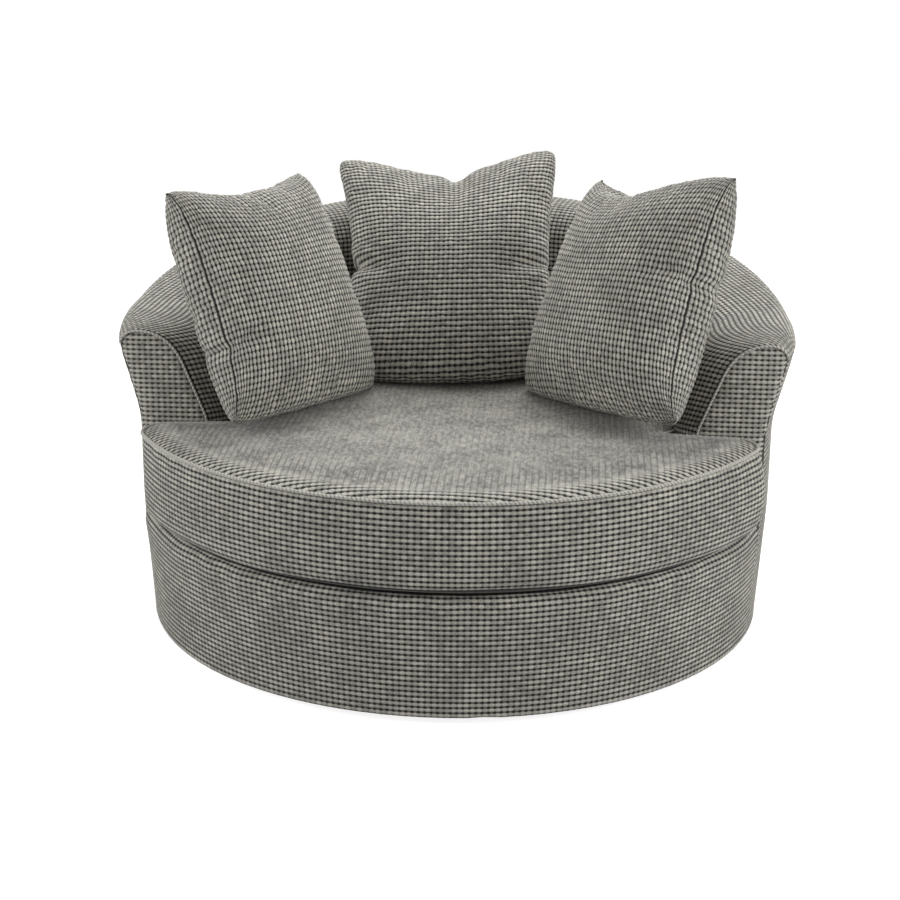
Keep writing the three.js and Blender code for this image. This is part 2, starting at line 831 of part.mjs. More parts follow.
function swivelPlate(bottom, top) {
  const plate = flatRing(plateBore, plateRadius, bottom, top, plateSteps);
  return cut(plate, ...screwHoles(bottom - cutOverrun, top + cutOverrun));
}

add('swivel_upper_plate', swivelPlate(upperPlateBottom, upperPlateTop), steel());

const base = new THREE.Group();
chair.add(base);
add('swivel_lower_plate', swivelPlate(lowerPlateBottom, lowerPlateTop), steel(), base);

const cageRing = flatRing(
  raceRadius - cageWidth / 2, raceRadius + cageWidth / 2,
  ballCentre - cageThickness / 2, ballCentre + cageThickness / 2, cageSteps,
);
const balls = Array.from({ length: ballCount }, (_, i) => {
  const angle = 2 * Math.PI * i / ballCount;
  return new THREE.SphereGeometry(ballDiameter / 2, ballSides, ballSides / 2)
    .translate(raceRadius * Math.cos(angle), raceRadius * Math.sin(angle), ballCentre);
});
add('ball_cage', join(cageRing, ...balls), blackPlastic(), base);

// Pan-head screws: the lower ones drop through their plate into the plinth, the upper ones rise
// through theirs into the cross rails
function screw() {
  const shank = screwDiameter / 2;
  const head = screwHeadDiameter / 2;
  const tip = -plateThickness - screwGrip;
  const profile = [
    new THREE.Vector2(0, tip),
    new THREE.Vector2(shank, tip),
    new THREE.Vector2(shank, fitGap),
    new THREE.Vector2(head, fitGap),
    new THREE.Vector2(head, screwHeadHeight),
    new THREE.Vector2(0, screwHeadHeight),
  ];
  return new THREE.LatheGeometry(profile, screwSides).rotateX(Math.PI / 2);
}

screwPlaces.forEach((place, i) => {
  const lower = screw().translate(place.x, place.y, lowerPlateTop);
  add(`lower_screw_${i + 1}`, lower, steel(), base);
  const upper = screw().rotateX(Math.PI).translate(place.x, place.y, upperPlateBottom);
  add(`upper_screw_${i + 1}`, upper, steel());
});

// Plinth board on its anti-slip pad
const plinthHoles = screwHoles(plinthTop - screwGrip - 2 * fitGap, plinthTop + cutOverrun);
const plinthDisc = disc(plinthRadius, plinthBottom, plinthTop, ringSteps);
add('plinth_board', cut(plinthDisc, ...plinthHoles), plywood(), base);
add('floor_pad', disc(floorPadRadius, 0, floorPadThickness, ringSteps), rubber(), base);

// Seat cushion: a crowned box cushion whose band bulges, as a sewn cover round a foam core
function seatForm(inset) {
  const ringAt = (growth, height) => {
    const outline = seatOutline(
      seatFrontRadius + growth, seatBackRadius + growth, earBack - growth, earCorner + growth,
    );
    return outline.map((point) => new THREE.Vector3(point.x, point.y, height));
  };
  const bottom = seatBottom + inset;
  const edge = seatEdgeHeight - inset;
  const middle = new THREE.Vector3(0, -seatCentre, 0);
  const rim = ringAt(-inset, edge);
  const crownRings = crownScaleShares.map((scale, i) => rim.map((point) => {
    const place = point.clone().sub(middle);
    return new THREE.Vector3(
      middle.x + place.x * scale, middle.y + place.y * scale, edge + seatCrown * crownRiseShares[i],
    );
  }));
  const rings = [
    ringAt(-seatBottomRound - inset, bottom),
    ringAt(-inset, bottom + seatBottomRound),
    ringAt(seatBulge - inset, (bottom + edge) / 2),
    rim,
    ...crownRings,
  ];
  return gathered(
    rings,
    middle.clone().setZ(bottom),
    middle.clone().setZ(edge + seatCrown),
  );
}

const seatZipHeight = (seatBottom + seatEdgeHeight) / 2;

function seatZipSlot(gap) {
  return box(
    new THREE.Vector3(-seatZipLength / 2 + gap, 0, seatZipHeight - zipWidth / 2 + gap),
    new THREE.Vector3(seatZipLength / 2 - gap, innerDeckRadius, seatZipHeight + zipWidth / 2 - gap),
  );
}

const seatCushion = new THREE.Group();
chair.add(seatCushion);
const seatShell = cut(seatForm(0), seatForm(cushionWall));
add('seat_cushion_cover', cut(seatShell, seatZipSlot(0)), chenille(), seatCushion);
add('seat_cushion_core', seatForm(cushionWall + fitGap), foam(), seatCushion);
add('seat_cushion_zip', common(seatShell, seatZipSlot(fitGap)), blackPlastic(), seatCushion);

const pipingOffset = pipingRadius * Math.SQRT1_2 + 2 * fitGap;
const pipingPath = seatOutline(
  seatFrontRadius + pipingOffset,
  seatBackRadius + pipingOffset,
  earBack - pipingOffset,
  earCorner + pipingOffset,
).map((point) => new THREE.Vector3(point.x, point.y, seatEdgeHeight + pipingOffset));
const seatPiping = cordLoop(pipingPath, pipingRadius, pipingSides);
add('seat_cushion_piping', seatPiping, pipingCloth(), seatCushion);

// A scatter cushion, standing on its lower edge with its back to +Y: plump in the middle, thin at
// the seam, with sides drawn in between pointed corners and a dent chopped into the top. Behind its
// foot it lies flat on the seat.
function scatterForm({ sizeShares, lean, chopDepthShare, chopPlaceShare }, inset) {
  const width = scatterWidth * sizeShares[0];
  const height = scatterHeight * sizeShares[1];
  const plump = scatterPlump * sizeShares[2];
  const chop = scatterChop * chopDepthShare;
  const count = scatterGridSteps + 1;
  const edge = scatterEdge - inset;
  const slope = THREE.MathUtils.degToRad(lean);
  const point = (i, j, side) => {
    const u = 2 * i / scatterGridSteps - 1;
    const v = 2 * j / scatterGridSteps - 1;
    const swell = ((1 - u * u) * (1 - v * v)) ** plumpShare;
    const dip = Math.exp(-(((u - chopPlaceShare) / chopSpreadShare) ** 2)) * (1 - u * u);
    const dent = chop * dip * ((1 + v) / 2) ** 2;
    const drawn = v > 0 ? drawnShare : 0;
    const depth = side * (edge + (plump - scatterEdge) * swell);
    const rise = height / 2 + (height / 2 - inset) * v * (1 - drawn * (1 - u * u)) - dent;
    return new THREE.Vector3(
      (width / 2 - inset) * u * (1 - drawnShare * (1 - v * v)),
      depth,
      Math.max(rise, depth * Math.tan(slope) + inset / Math.cos(slope)),
    );
  };
  const points = [];
  for (const side of [-1, 1]) {
    for (let j = 0; j < count; j += 1) {
      for (let i = 0; i < count; i += 1) {
        points.push(point(i, j, side));
      }
    }
  }
  const triangles = [];
  const quad = (...corners) => {
    const [a, b, c, d] = corners.map(([i, j, back]) => (back * count + j) * count + i);
    triangles.push(a, b, c, a, c, d);
  };
  const end = scatterGridSteps;
  for (let j = 0; j < scatterGridSteps; j += 1) {
    for (let i = 0; i < scatterGridSteps; i += 1) {
      quad([i, j, 0], [i + 1, j, 0], [i + 1, j + 1, 0], [i, j + 1, 0]);
      quad([i, j, 1], [i, j + 1, 1], [i + 1, j + 1, 1], [i + 1, j, 1]);
    }
    quad([j, 0, 1], [j + 1, 0, 1], [j + 1, 0, 0], [j, 0, 0]);
    quad([j, end, 0], [j + 1, end, 0], [j + 1, end, 1], [j, end, 1]);
    quad([0, j, 0], [0, j + 1, 0], [0, j + 1, 1], [0, j, 1]);
    quad([end, j, 1], [end, j + 1, 1], [end, j + 1, 0], [end, j, 0]);
  }
  return meshFrom(points, triangles);
}

function scatterZipSlot(gap) {
  return box(
    new THREE.Vector3(-scatterZipLength / 2 + gap, -zipWidth / 2 + gap, -cutOverrun),
    new THREE.Vector3(scatterZipLength / 2 - gap, zipWidth / 2 - gap, zipDepth),
  );
}

for (const cushion of scatterCushions) {
  const group = new THREE.Group();
  const shell = cut(scatterForm(cushion, 0), scatterForm(cushion, cushionWall));
  add(`scatter_cover_${cushion.name}`, cut(shell, scatterZipSlot(0)), chenille(), group);
  add(`scatter_pad_${cushion.name}`, scatterForm(cushion, cushionWall + fitGap), foam(), group);
  add(`scatter_zip_${cushion.name}`, common(shell, scatterZipSlot(fitGap)), blackPlastic(), group);
  group.rotation.set(
    -THREE.MathUtils.degToRad(cushion.lean),
    -THREE.MathUtils.degToRad(cushion.tip),
    THREE.MathUtils.degToRad(cushion.turn),
    'ZXY',
  );
  const footRadius = innerDeckRadius - scatterHeight * cushion.setbackShare;
  const footAngle = THREE.MathUtils.degToRad(cushion.footAngle);
  group.position.set(footRadius * Math.cos(footAngle), footRadius * Math.sin(footAngle), 0);
  group.updateMatrixWorld(true);
  const lowest = new THREE.Box3().setFromObject(group, true).min.z;
  group.position.z = seatCrownHeight + fitGap - lowest;
  chair.add(group);
}

export default chair;
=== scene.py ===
"""A round cuddle chair on a hidden swivel, with a T-shaped seat cushion and three scatter cushions."""

from math import asin, cos, pi, radians, sin, tan

import bpy
import numpy as np
from mathutils import Euler, Matrix, Vector


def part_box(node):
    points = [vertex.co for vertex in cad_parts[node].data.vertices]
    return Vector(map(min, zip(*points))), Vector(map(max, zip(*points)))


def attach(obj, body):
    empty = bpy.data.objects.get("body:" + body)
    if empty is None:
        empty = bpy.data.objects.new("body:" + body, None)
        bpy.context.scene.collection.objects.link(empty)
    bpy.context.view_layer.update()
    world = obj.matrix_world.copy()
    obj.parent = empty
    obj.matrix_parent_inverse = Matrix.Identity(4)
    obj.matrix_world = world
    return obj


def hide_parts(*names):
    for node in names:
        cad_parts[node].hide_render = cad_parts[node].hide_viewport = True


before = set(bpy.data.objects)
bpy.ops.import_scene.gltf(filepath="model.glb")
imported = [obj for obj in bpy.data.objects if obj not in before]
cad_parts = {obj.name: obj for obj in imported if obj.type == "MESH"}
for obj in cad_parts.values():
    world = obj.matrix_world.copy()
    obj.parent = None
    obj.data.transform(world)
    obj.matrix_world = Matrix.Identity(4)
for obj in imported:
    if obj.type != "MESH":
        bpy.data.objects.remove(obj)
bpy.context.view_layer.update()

# The camera. It stands a little right of the chair's front and looks down on it at seventeen
# degrees, as the photograph does, on a long lens with no shift.
CAMERA_PLACE = Vector((0.2465, -3.7662, 1.5023))
CAMERA_TURN = radians(3.94)
CAMERA_TILT = radians(17.21)
CAMERA_ROLL = radians(0.46)
LENS_MM = 75
SENSOR_MM = 36

bpy.ops.object.select_all(action="DESELECT")
bpy.ops.object.camera_add(location=CAMERA_PLACE)
camera = bpy.context.active_object
camera.name = "camera"
camera.data.lens = LENS_MM
camera.data.sensor_width = SENSOR_MM
aim = Vector((
    -sin(CAMERA_TURN) * cos(CAMERA_TILT),
    cos(CAMERA_TURN) * cos(CAMERA_TILT),
    -sin(CAMERA_TILT),
))
camera.rotation_mode = "QUATERNION"
camera.rotation_quaternion = aim.to_track_quat("-Z", "Y") @ Euler((0, 0, CAMERA_ROLL)).to_quaternion()
bpy.context.scene.camera = camera
bpy.context.scene.view_settings.view_transform = "Standard"

# The studio: one pale floor that runs out of sight, and four wide soft lamps, one overhead, one
# at each side and one behind. The floor looks white to the camera and keeps the chair's shadow.
FLOOR_SIDE = 120
FLOOR_WHITE = 0.45
FLOOR_GLOW = 0.86
FLOOR_SHADE = 0.62
SKY_LIGHT = 0.26
LAMP_AIM = Vector((0, 0, 0.45))
LAMPS = (
    # name, place, size across, watts
    ("lamp_overhead", (0.0, 1.5, 3.2), 2.6, 56),
    ("lamp_left", (-3.3, -1.6, 1.9), 1.6, 52),
    ("lamp_right", (3.3, -1.6, 2.0), 1.6, 64),
    ("lamp_back", (0.4, 3.4, 2.6), 2.4, 30),
)


class Shade:
    """A number or a colour in a material. Plain arithmetic on it adds the nodes that do it."""

    def __init__(self, tree, socket):
        self.tree = tree
        self.socket = socket

    def calculate(self, operation, *others):
        return self.add("ShaderNodeMath", dict(enumerate((self, *others))), operation=operation)

    def add(self, kind, inputs, output=0, **settings):
        return Shade(self.tree, add_node(self.tree, kind, inputs, **settings).outputs[output])

    def __add__(self, other):
        return self.calculate("ADD", other)

    def __mul__(self, other):
        return self.calculate("MULTIPLY", other)

    def __rsub__(self, number):
        return self * -1.0 + number

    def ease(self, low, high, at_low=0.0, at_high=1.0):
        """Runs smoothly from at_low to at_high while this goes from low to high"""
        return self.add("ShaderNodeMapRange", {
            "Value": self, "From Min": low, "From Max": high, "To Min": at_low, "To Max": at_high,
        }, "Result", interpolation_type="SMOOTHSTEP")

    def blend(self, first, second):
        """The first colour where this is nought and the second where it is one"""
        return self.add("ShaderNodeMix", {0: self, 6: first, 7: second}, 2, data_type="RGBA")


def set_input(tree, socket, value):
    """Sets a node's input to a number, a colour, or another node's output"""
    if isinstance(value, Shade):
        tree.links.new(value.socket, socket)
    elif isinstance(value, bpy.types.NodeSocket):
        tree.links.new(value, socket)
    else:
        socket.default_value = value


def add_node(tree, kind, inputs=None, **settings):
    """Adds a shader node with its settings and inputs"""
    made = tree.nodes.new(kind)
    for setting, value in settings.items():
        setattr(made, setting, value)
    for socket, value in (inputs or {}).items():
        set_input(tree, made.inputs[socket], value)
    return made


def blank_material(name):
    material = bpy.data.materials.new(name)
    material.use_nodes = True
    material.node_tree.nodes.clear()
    return material, material.node_tree


def backdrop_mix(tree, lighting, seen):
    """What lights the chair for a ray from a surface, what is seen for one from the camera,
    a mirror or a glass"""
    path = add_node(tree, "ShaderNodeLightPath").outputs
    rays = Shade(tree, path["Is Camera Ray"])
    for other in ("Is Glossy Ray", "Is Transmission Ray"):
        rays = rays.calculate("MAXIMUM", path[other])
    return rays.add("ShaderNodeMixShader", {0: rays, 1: lighting.outputs[0], 2: seen.outputs[0]})


bpy.ops.mesh.primitive_plane_add(size=FLOOR_SIDE)
floor = bpy.context.active_object
floor.name = "floor"
floor_paint, tree = blank_material("floor_paint")
matt = add_node(tree, "ShaderNodeBsdfDiffuse", {"Color": (FLOOR_WHITE, FLOOR_WHITE, FLOOR_WHITE, 1)})
shade = add_node(tree, "ShaderNodeBsdfDiffuse", {"Color": (FLOOR_SHADE, FLOOR_SHADE, FLOOR_SHADE, 1)})
glow = add_node(tree, "ShaderNodeEmission", {"Color": (1, 1, 1, 1), "Strength": FLOOR_GLOW})
lit = add_node(tree, "ShaderNodeAddShader", {0: shade.outputs[0], 1: glow.outputs[0]})
add_node(tree, "ShaderNodeOutputMaterial", {"Surface": backdrop_mix(tree, matt, lit)})
floor.data.materials.append(floor_paint)

sky = bpy.data.worlds.new("studio_sky")
bpy.context.scene.world = sky
sky.use_nodes = True
sky.node_tree.nodes.clear()
tree = sky.node_tree
soft_sky = add_node(tree, "ShaderNodeBackground", {"Color": (1, 1, 1, 1), "Strength": SKY_LIGHT})
white_sky = add_node(tree, "ShaderNodeBackground", {"Color": (1, 1, 1, 1), "Strength": 1.0})
add_node(tree, "ShaderNodeOutputWorld", {"Surface": backdrop_mix(tree, soft_sky, white_sky)})

for lamp_name, lamp_place, lamp_size, lamp_watts in LAMPS:
    bpy.ops.object.light_add(type="AREA", location=lamp_place)
    lamp = bpy.context.active_object
    lamp.name = lamp_name
    lamp.data.shape = "DISK"
    lamp.data.size = lamp_size
    lamp.data.energy = lamp_watts
    lamp.rotation_mode = "QUATERNION"
    lamp.rotation_quaternion = (LAMP_AIM - Vector(lamp_place)).to_track_quat("-Z", "Y")

# Floor base: a round plywood plinth on an anti-slip rubber pad. It stays still while the chair
# turns. The pad is glued under the plinth.
PLY_FACE = (0.50, 0.36, 0.21, 1)
PLY_DARK = (0.33, 0.21, 0.11, 1)
PLY_LAYERS_PER_M = 520
RUBBER_BLACK = (0.018, 0.018, 0.019, 1)
RUBBER_GREY = (0.045, 0.045, 0.046, 1)


def from_object(tree):
    """The piece's own coordinates"""
    return add_node(tree, "ShaderNodeTexCoord").outputs["Object"]


def part_of(tree, vector, axis):
    return Shade(tree, add_node(tree, "ShaderNodeSeparateXYZ", {"Vector": vector}).outputs[axis])


def noise(tree, scale, stretch=(1, 1, 1), detail=3, source=None):
    """Cloudy variation on the piece's own coordinates, drawn out along an axis by stretch"""
    laid = add_node(tree, "ShaderNodeMapping", {"Vector": source or from_object(tree), "Scale": stretch})
    return Shade(tree, add_node(tree, "ShaderNodeTexNoise", {
        "Vector": laid.outputs[0], "Scale": scale, "Detail": detail,
    }).outputs["Fac"])


def finish_surface(material, colour, height, depth, roughness, metallic=0.0, sheen=0.0):
    """The shader of a material: its colour, its relief from height, and its constant gloss"""
    tree = material.node_tree
    surface = add_node(tree, "ShaderNodeBsdfPrincipled", {
        "Base Color": colour, "Roughness": roughness, "Metallic": metallic,
        "Sheen Weight": sheen, "Sheen Roughness": 0.5,
        "Normal": height.add("ShaderNodeBump", {"Height": height, "Distance": depth}),
    })
    add_node(tree, "ShaderNodeOutputMaterial", {"Surface": surface.outputs[0]})
    return material


def plywood(name, grain_axis):
    """Birch plywood: long grain on the faces, thin light and dark veneers on the edges"""
    material, tree = blank_material(name)
    stretch = [90, 90, 90]
    stretch[grain_axis] = 4
    grain = noise(tree, 1.0, stretch, 6)
    veneer = (part_of(tree, from_object(tree), 2) * PLY_LAYERS_PER_M).calculate("PINGPONG", 1.0)
    facing = add_node(tree, "ShaderNodeNewGeometry").outputs["Normal"]
    edge = part_of(tree, facing, 2).calculate("ABSOLUTE").ease(0.9, 0.5)
    shade = edge * veneer.ease(0.45, 0.6) * 0.6 + grain.ease(0.35, 0.75, 0.0, 0.5)
    colour = shade.blend(PLY_FACE, PLY_DARK)
    return finish_surface(material, colour, grain, 0.0004, grain.ease(0.3, 0.7, 0.55, 0.75))


def rubber():
    material, tree = blank_material("pad_rubber")
    scuffs = noise(tree, 14, detail=5)
    colour = scuffs.ease(0.45, 0.7).blend(RUBBER_BLACK, RUBBER_GREY)
    return finish_surface(material, colour, noise(tree, 420), 0.0005, scuffs.ease(0.3, 0.7, 0.75, 0.95))


def dress(names, material):
    """Gives CAD nodes their procedural material"""
    for name in names:
        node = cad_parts[name]
        node.data.materials.clear()
        node.data.materials.append(material)


ply_along = plywood("plywood_grain_lengthwise", 1)
ply_across = plywood("plywood_grain_across", 0)
ply_upright = plywood("plywood_grain_upright", 2)
dress(["floor_pad"], rubber())
dress(["plinth_board"], ply_across)

# Swivel: two pressed steel plates, zinc plated, that turn on a ring of steel balls in a black
# nylon cage. Pan-head screws hold the lower one to the plinth and the upper one to the rails.
ZINC = (0.55, 0.56, 0.57, 1)
ZINC_DULL = (0.36, 0.37, 0.38, 1)
NYLON = (0.022, 0.022, 0.021, 1)
NYLON_WORN = (0.05, 0.05, 0.048, 1)


def zinc_steel(name, scratch_scale):
    material, tree = blank_material(name)
    scratch = noise(tree, scratch_scale, (1, 14, 1), 4)
    colour = noise(tree, 60, detail=2).ease(0.35, 0.7).blend(ZINC, ZINC_DULL)
    return finish_surface(material, colour, scratch, 0.0001, scratch.ease(0.3, 0.7, 0.28, 0.5), metallic=1.0)


def moulded_plastic(name):
    material, tree = blank_material(name)
    wear = noise(tree, 35, detail=5)
    colour = wear.ease(0.5, 0.75).blend(NYLON, NYLON_WORN)
    grain = noise(tree, 900, detail=1)
    return finish_surface(material, colour, grain, 0.0002, wear.ease(0.3, 0.7, 0.45, 0.65))


screw_zinc = zinc_steel("screw_zinc", 400)
cage_nylon = moulded_plastic("cage_nylon")
dress(["swivel_lower_plate", "swivel_upper_plate"], zinc_steel("plate_zinc", 120))
for plate in ("lower", "upper"):
    dress([f"{plate}_screw_{i}" for i in (1, 2, 3, 4)], screw_zinc)
dress(["ball_cage"], cage_nylon)

# Frame: birch plywood rails, rings, posts, ribs and arm boards, glued and stapled, with two
# thin hardboard sheets bent round them, one outside the barrel and one at the drum's front.
HARDBOARD = (0.23, 0.13, 0.07, 1)
HARDBOARD_DARK = (0.13, 0.07, 0.035, 1)


def hardboard():
    """Hardboard: brown pressed fibre, smooth on one face"""
    material, tree = blank_material("bent_hardboard")
    fibre = noise(tree, 300, detail=6)
    cloud = noise(tree, 9, detail=3)
    shade = fibre.ease(0.35, 0.7) * cloud.ease(0.2, 0.8, 0.5, 1.0)
    colour = shade.blend(HARDBOARD, HARDBOARD_DARK)
    return finish_surface(material, colour, fibre, 0.0003, cloud.ease(0.3, 0.7, 0.5, 0.7))


dress(["cross_rail_left", "cross_rail_right"], ply_along)
dress(["base_ring", "deck_ring", "top_rail"], ply_across)
dress(["front_post_1", "front_post_2", "front_post_3", "arm_board_left", "arm_board_right"],
      ply_upright)
dress([f"back_rib_{i}" for i in (1, 2, 3, 4, 5)], ply_upright)
dress(["outside_board", "front_board"], hardboard())

# Suspension: five sinuous springs of hard-drawn wire across the deck ring, with an oil film.
SPRING_BRONZE = (0.16, 0.13, 0.10, 1)
SPRING_BLUE = (0.10, 0.11, 0.13, 1)

spring_wire, tree = blank_material("spring_wire")
tint = noise(tree, 30, detail=4)
drawn = noise(tree, 600, (1, 6, 1), 2)
finish_surface(spring_wire, tint.ease(0.35, 0.65).blend(SPRING_BRONZE, SPRING_BLUE),
               drawn, 0.0001, tint.ease(0.3, 0.7, 0.3, 0.45), metallic=1.0)
dress([f"seat_spring_{i}" for i in (1, 2, 3, 4, 5)], spring_wire)

# Deck: a thin foam pad on the springs under a black lining cloth, which closes the well under
# the seat cushion. Both are cut to the T shape of the seat, and the cloth is stapled all round.
DECK_LEVEL = 0.262
DECK_BACK_RADIUS = 0.498
DECK_EAR_LINE = 0.1906
DECK_CORNER = 0.005
SQUEEZE_REACH = 0.14
PAD_RADIUS = 0.628
PAD_TOP = 0.2567
PAD_THICKNESS = 0.008
CLOTH_RADIUS = 0.600
CLOTH_THICKNESS = 0.0014
CLOTH_CELL = (0.016, 0.016)
CLOTH_SAG = 0.0022
PAD_EDGE_DROP = 0.0015
PAD_EDGE_REACH = 0.004
LINING_DROP = 0.0018
LINING_RIPPLE = 0.0006
EDGE_SHARE = 0.3
MERGE_REACH = 0.00002
POINTS_AT_ONCE = 4000
FOAM_CREAM = (0.66, 0.58, 0.42, 1)
FOAM_SHADE = (0.50, 0.43, 0.29, 1)
LINING_BLACK = (0.020, 0.020, 0.021, 1)
LINING_GREY = (0.060, 0.060, 0.062, 1)


def dots(tree, scale, randomness=1.0):
    """How far each place is from the nearest of many dots in the piece's own space"""
    return Shade(tree, add_node(tree, "ShaderNodeTexVoronoi", {
        "Vector": from_object(tree), "Scale": scale, "Randomness": randomness,
    }).outputs["Distance"])


def cushion_foam():
    """Polyurethane foam: cream, open celled, yellowed in patches"""
    material, tree = blank_material("cushion_foam")
    cells = dots(tree, 520)
    colour = noise(tree, 9, detail=4).ease(0.35, 0.75).blend(FOAM_CREAM, FOAM_SHADE)
    pitted = cells.ease(0.3, 0.05, 0.0, 0.35).blend(colour, FOAM_SHADE)
    return finish_surface(material, pitted, cells, 0.0006, 0.95)


def lining_cloth():
    """Spun-bonded lining: black, with the fine dimples of its bonding"""
    material, tree = blank_material("black_lining")
    dimples = dots(tree, 480, 0.15)
    shade = noise(tree, 260, (1, 3, 1), 5).ease(0.4, 0.75) * dimples.ease(0.1, 0.4)
    return finish_surface(material, shade.blend(LINING_BLACK, LINING_GREY), dimples, 0.0004, 0.9)


def arc_points(middle, radius, start, end, steps):
    turn = np.linspace(start, end, steps + 1)
    return np.stack([middle[0] + radius * np.cos(turn), middle[1] + radius * np.sin(turn)], 1)


def seat_outline(front_radius, back_radius, ear_line, corner, squeeze=0.0):
    """The T seen from above: round in front of the arms, narrower between them"""
    notch = -asin(ear_line / back_radius)
    ear_y = -(ear_line + corner)
    tangent = asin(-ear_y / (front_radius - corner))
    ear_x = (front_radius - corner) * cos(tangent)
    front = arc_points((0, 0), front_radius, pi + tangent, 2 * pi - tangent, 150)
    back = arc_points((0, 0), back_radius, notch, pi - notch, 150)
    back *= 1 - squeeze * np.exp(-(back[:, 1:] + ear_line) / SQUEEZE_REACH)
    return np.concatenate([
        back,
        arc_points((-ear_x, ear_y), corner, pi / 2, pi + tangent, 16),
        front[1:-1],
        arc_points((ear_x, ear_y), corner, -tangent, pi / 2, 16),
    ])


def from_outline(outline, points):
    """How far points lie inside a closed outline, and the nearest place on it"""
    start = outline
    side = np.roll(outline, -1, 0) - start
    reach = np.maximum((side ** 2).sum(1), 1e-12)
    depth = np.empty(len(points))
    foot = np.empty((len(points), 2))
    for first in range(0, len(points), POINTS_AT_ONCE):
        batch = slice(first, first + POINTS_AT_ONCE)
        some = points[batch]
        away = some[:, None] - start[None]
        share = np.clip((away * side).sum(2) / reach, 0, 1)
        feet = start + share[..., None] * side
        gap = np.linalg.norm(some[:, None] - feet, axis=2)
        best = gap.argmin(1)
        rows = np.arange(len(some))
        ends = np.roll(start, -1, 0)
        spans = (start[:, 1] > some[:, None, 1]) != (ends[:, 1] > some[:, None, 1])
        rise = np.where(side[:, 1] == 0, 1, side[:, 1])
        crossing = start[:, 0] + side[:, 0] * (some[:, None, 1] - start[:, 1]) / rise
        inside = (spans & (some[:, None, 0] < crossing)).sum(1) % 2 == 1
        depth[batch] = np.where(inside, 1, -1) * gap[rows, best]
        foot[batch] = feet[rows, best]
    return depth, foot


def read_all(items, name, width=1, kind=float):
    """One property of all the items, with a row for each where it has several numbers"""
    values = np.empty(len(items) * width, kind)
    items.foreach_get(name, values)
    return values.reshape(-1, width) if width > 1 else values


def get_places(piece):
    return read_all(piece.data.vertices, "co", 3)


def set_places(piece, places):
    piece.data.vertices.foreach_set("co", np.asarray(places, float).ravel())
    piece.data.update()


def corner_points(piece):
    """The number of the point at each corner of each face"""
    return read_all(piece.data.loops, "vertex_index", kind=int)


def pick(piece):
    """Makes a piece the only one selected, and the active one"""
    bpy.ops.object.select_all(action="DESELECT")
    bpy.context.view_layer.objects.active = piece
    piece.select_set(True)


def edit_faces(piece, chosen):
    """Opens a piece in edit mode with only the chosen faces selected. True stands for all."""
    pick(piece)
    bpy.ops.object.mode_set(mode="EDIT")
    bpy.ops.mesh.select_mode(type="FACE")
    bpy.ops.mesh.select_all(action="DESELECT")
    bpy.ops.object.mode_set(mode="OBJECT")
    faces = piece.data.polygons
    faces.foreach_set("select", np.broadcast_to(chosen, len(faces)).astype(bool))
    bpy.ops.object.mode_set(mode="EDIT")


def face_areas(piece):
    return read_all(piece.data.polygons, "area")


def apply_modifiers(piece):
    pick(piece)
    for modifier in list(piece.modifiers):
        bpy.ops.object.modifier_apply(modifier=modifier.name)


def cell_marks(place, cells, steps):
    """The column or row number at each point of a new sheet, with its step inside the cell"""
    index = np.rint((place + 0.5) * cells * len(steps)).astype(int)
    return index // len(steps) + np.array(steps)[index % len(steps)]


def new_cloth(name, columns, rows, steps_across=(0.0,), steps_up=(0.0,)):
    """A flat sheet of columns by rows cells. Gives its points' column and row numbers."""
    bpy.ops.object.select_all(action="DESELECT")
    bpy.ops.mesh.primitive_grid_add(
        x_subdivisions=columns * len(steps_across), y_subdivisions=rows * len(steps_up), size=1)
    piece = bpy.context.active_object
    piece.name = name
    piece.data.name = name
    places = get_places(piece)
    across = cell_marks(places[:, 0], columns, steps_across)
    up = cell_marks(places[:, 1], rows, steps_up)
    return piece, across, up


def turn_over(piece):
    """Turns a sheet's face to the other side"""
    edit_faces(piece, True)
    bpy.ops.mesh.flip_normals()
    bpy.ops.object.mode_set(mode="OBJECT")


def lay_cloth(piece, places, weave):
    """Lays a sheet's corners at places, and maps its weave in cells on the UV map"""
    set_places(piece, places)
    layer = piece.data.uv_layers[0]
    layer.name = "weave"
    layer.data.foreach_set("uv", np.asarray(weave, float)[corner_points(piece)].ravel())


def drop_faces(piece, chosen):
    """Deletes the chosen faces and what hangs loose, and merges corners that meet"""
    edit_faces(piece, chosen)
    bpy.ops.mesh.delete(type="FACE")
    bpy.ops.mesh.select_all(action="SELECT")
    bpy.ops.mesh.remove_doubles(threshold=MERGE_REACH)
    bpy.ops.mesh.select_all(action="SELECT")
    bpy.ops.mesh.delete_loose(use_verts=True, use_edges=True, use_faces=False)
    bpy.ops.object.mode_set(mode="OBJECT")


def cut_cloth(name, outline, cell, rise, upright=None, start=(0, 0), steps=((0.0,), (0.0,))):
    """A sheet of whole cells cut to an outline. rise(points, depth) gives its height over the
    plane, or in front of it where upright is the plane's y."""
    low = outline.min(0)
    high = outline.max(0)
    first = np.floor((low - start) / cell).astype(int)
    last = np.ceil((high - start) / cell).astype(int)
    piece, across, up = new_cloth(name, int(last[0] - first[0]), int(last[1] - first[1]), *steps)
    points = (np.stack([across, up], 1) + first) * cell + start
    depth, foot = from_outline(outline, points)
    edge = depth < EDGE_SHARE * min(cell) / len(steps[1])
    points[edge] = foot[edge]
    depth[edge] = 0
    height = rise(points, depth)
    if upright is None:
        places = np.column_stack([points, height])
    else:
        places = np.column_stack([points[:, 0], upright - height, points[:, 1]])
    lay_cloth(piece, places, (points - start) / cell)
    corners = np.array([list(face.vertices) for face in piece.data.polygons])
    drop_faces(piece, edge[corners].all(1))
    return piece


def smooth(piece, angle=50):
    pick(piece)
    bpy.ops.object.shade_smooth_by_angle(angle=radians(angle))


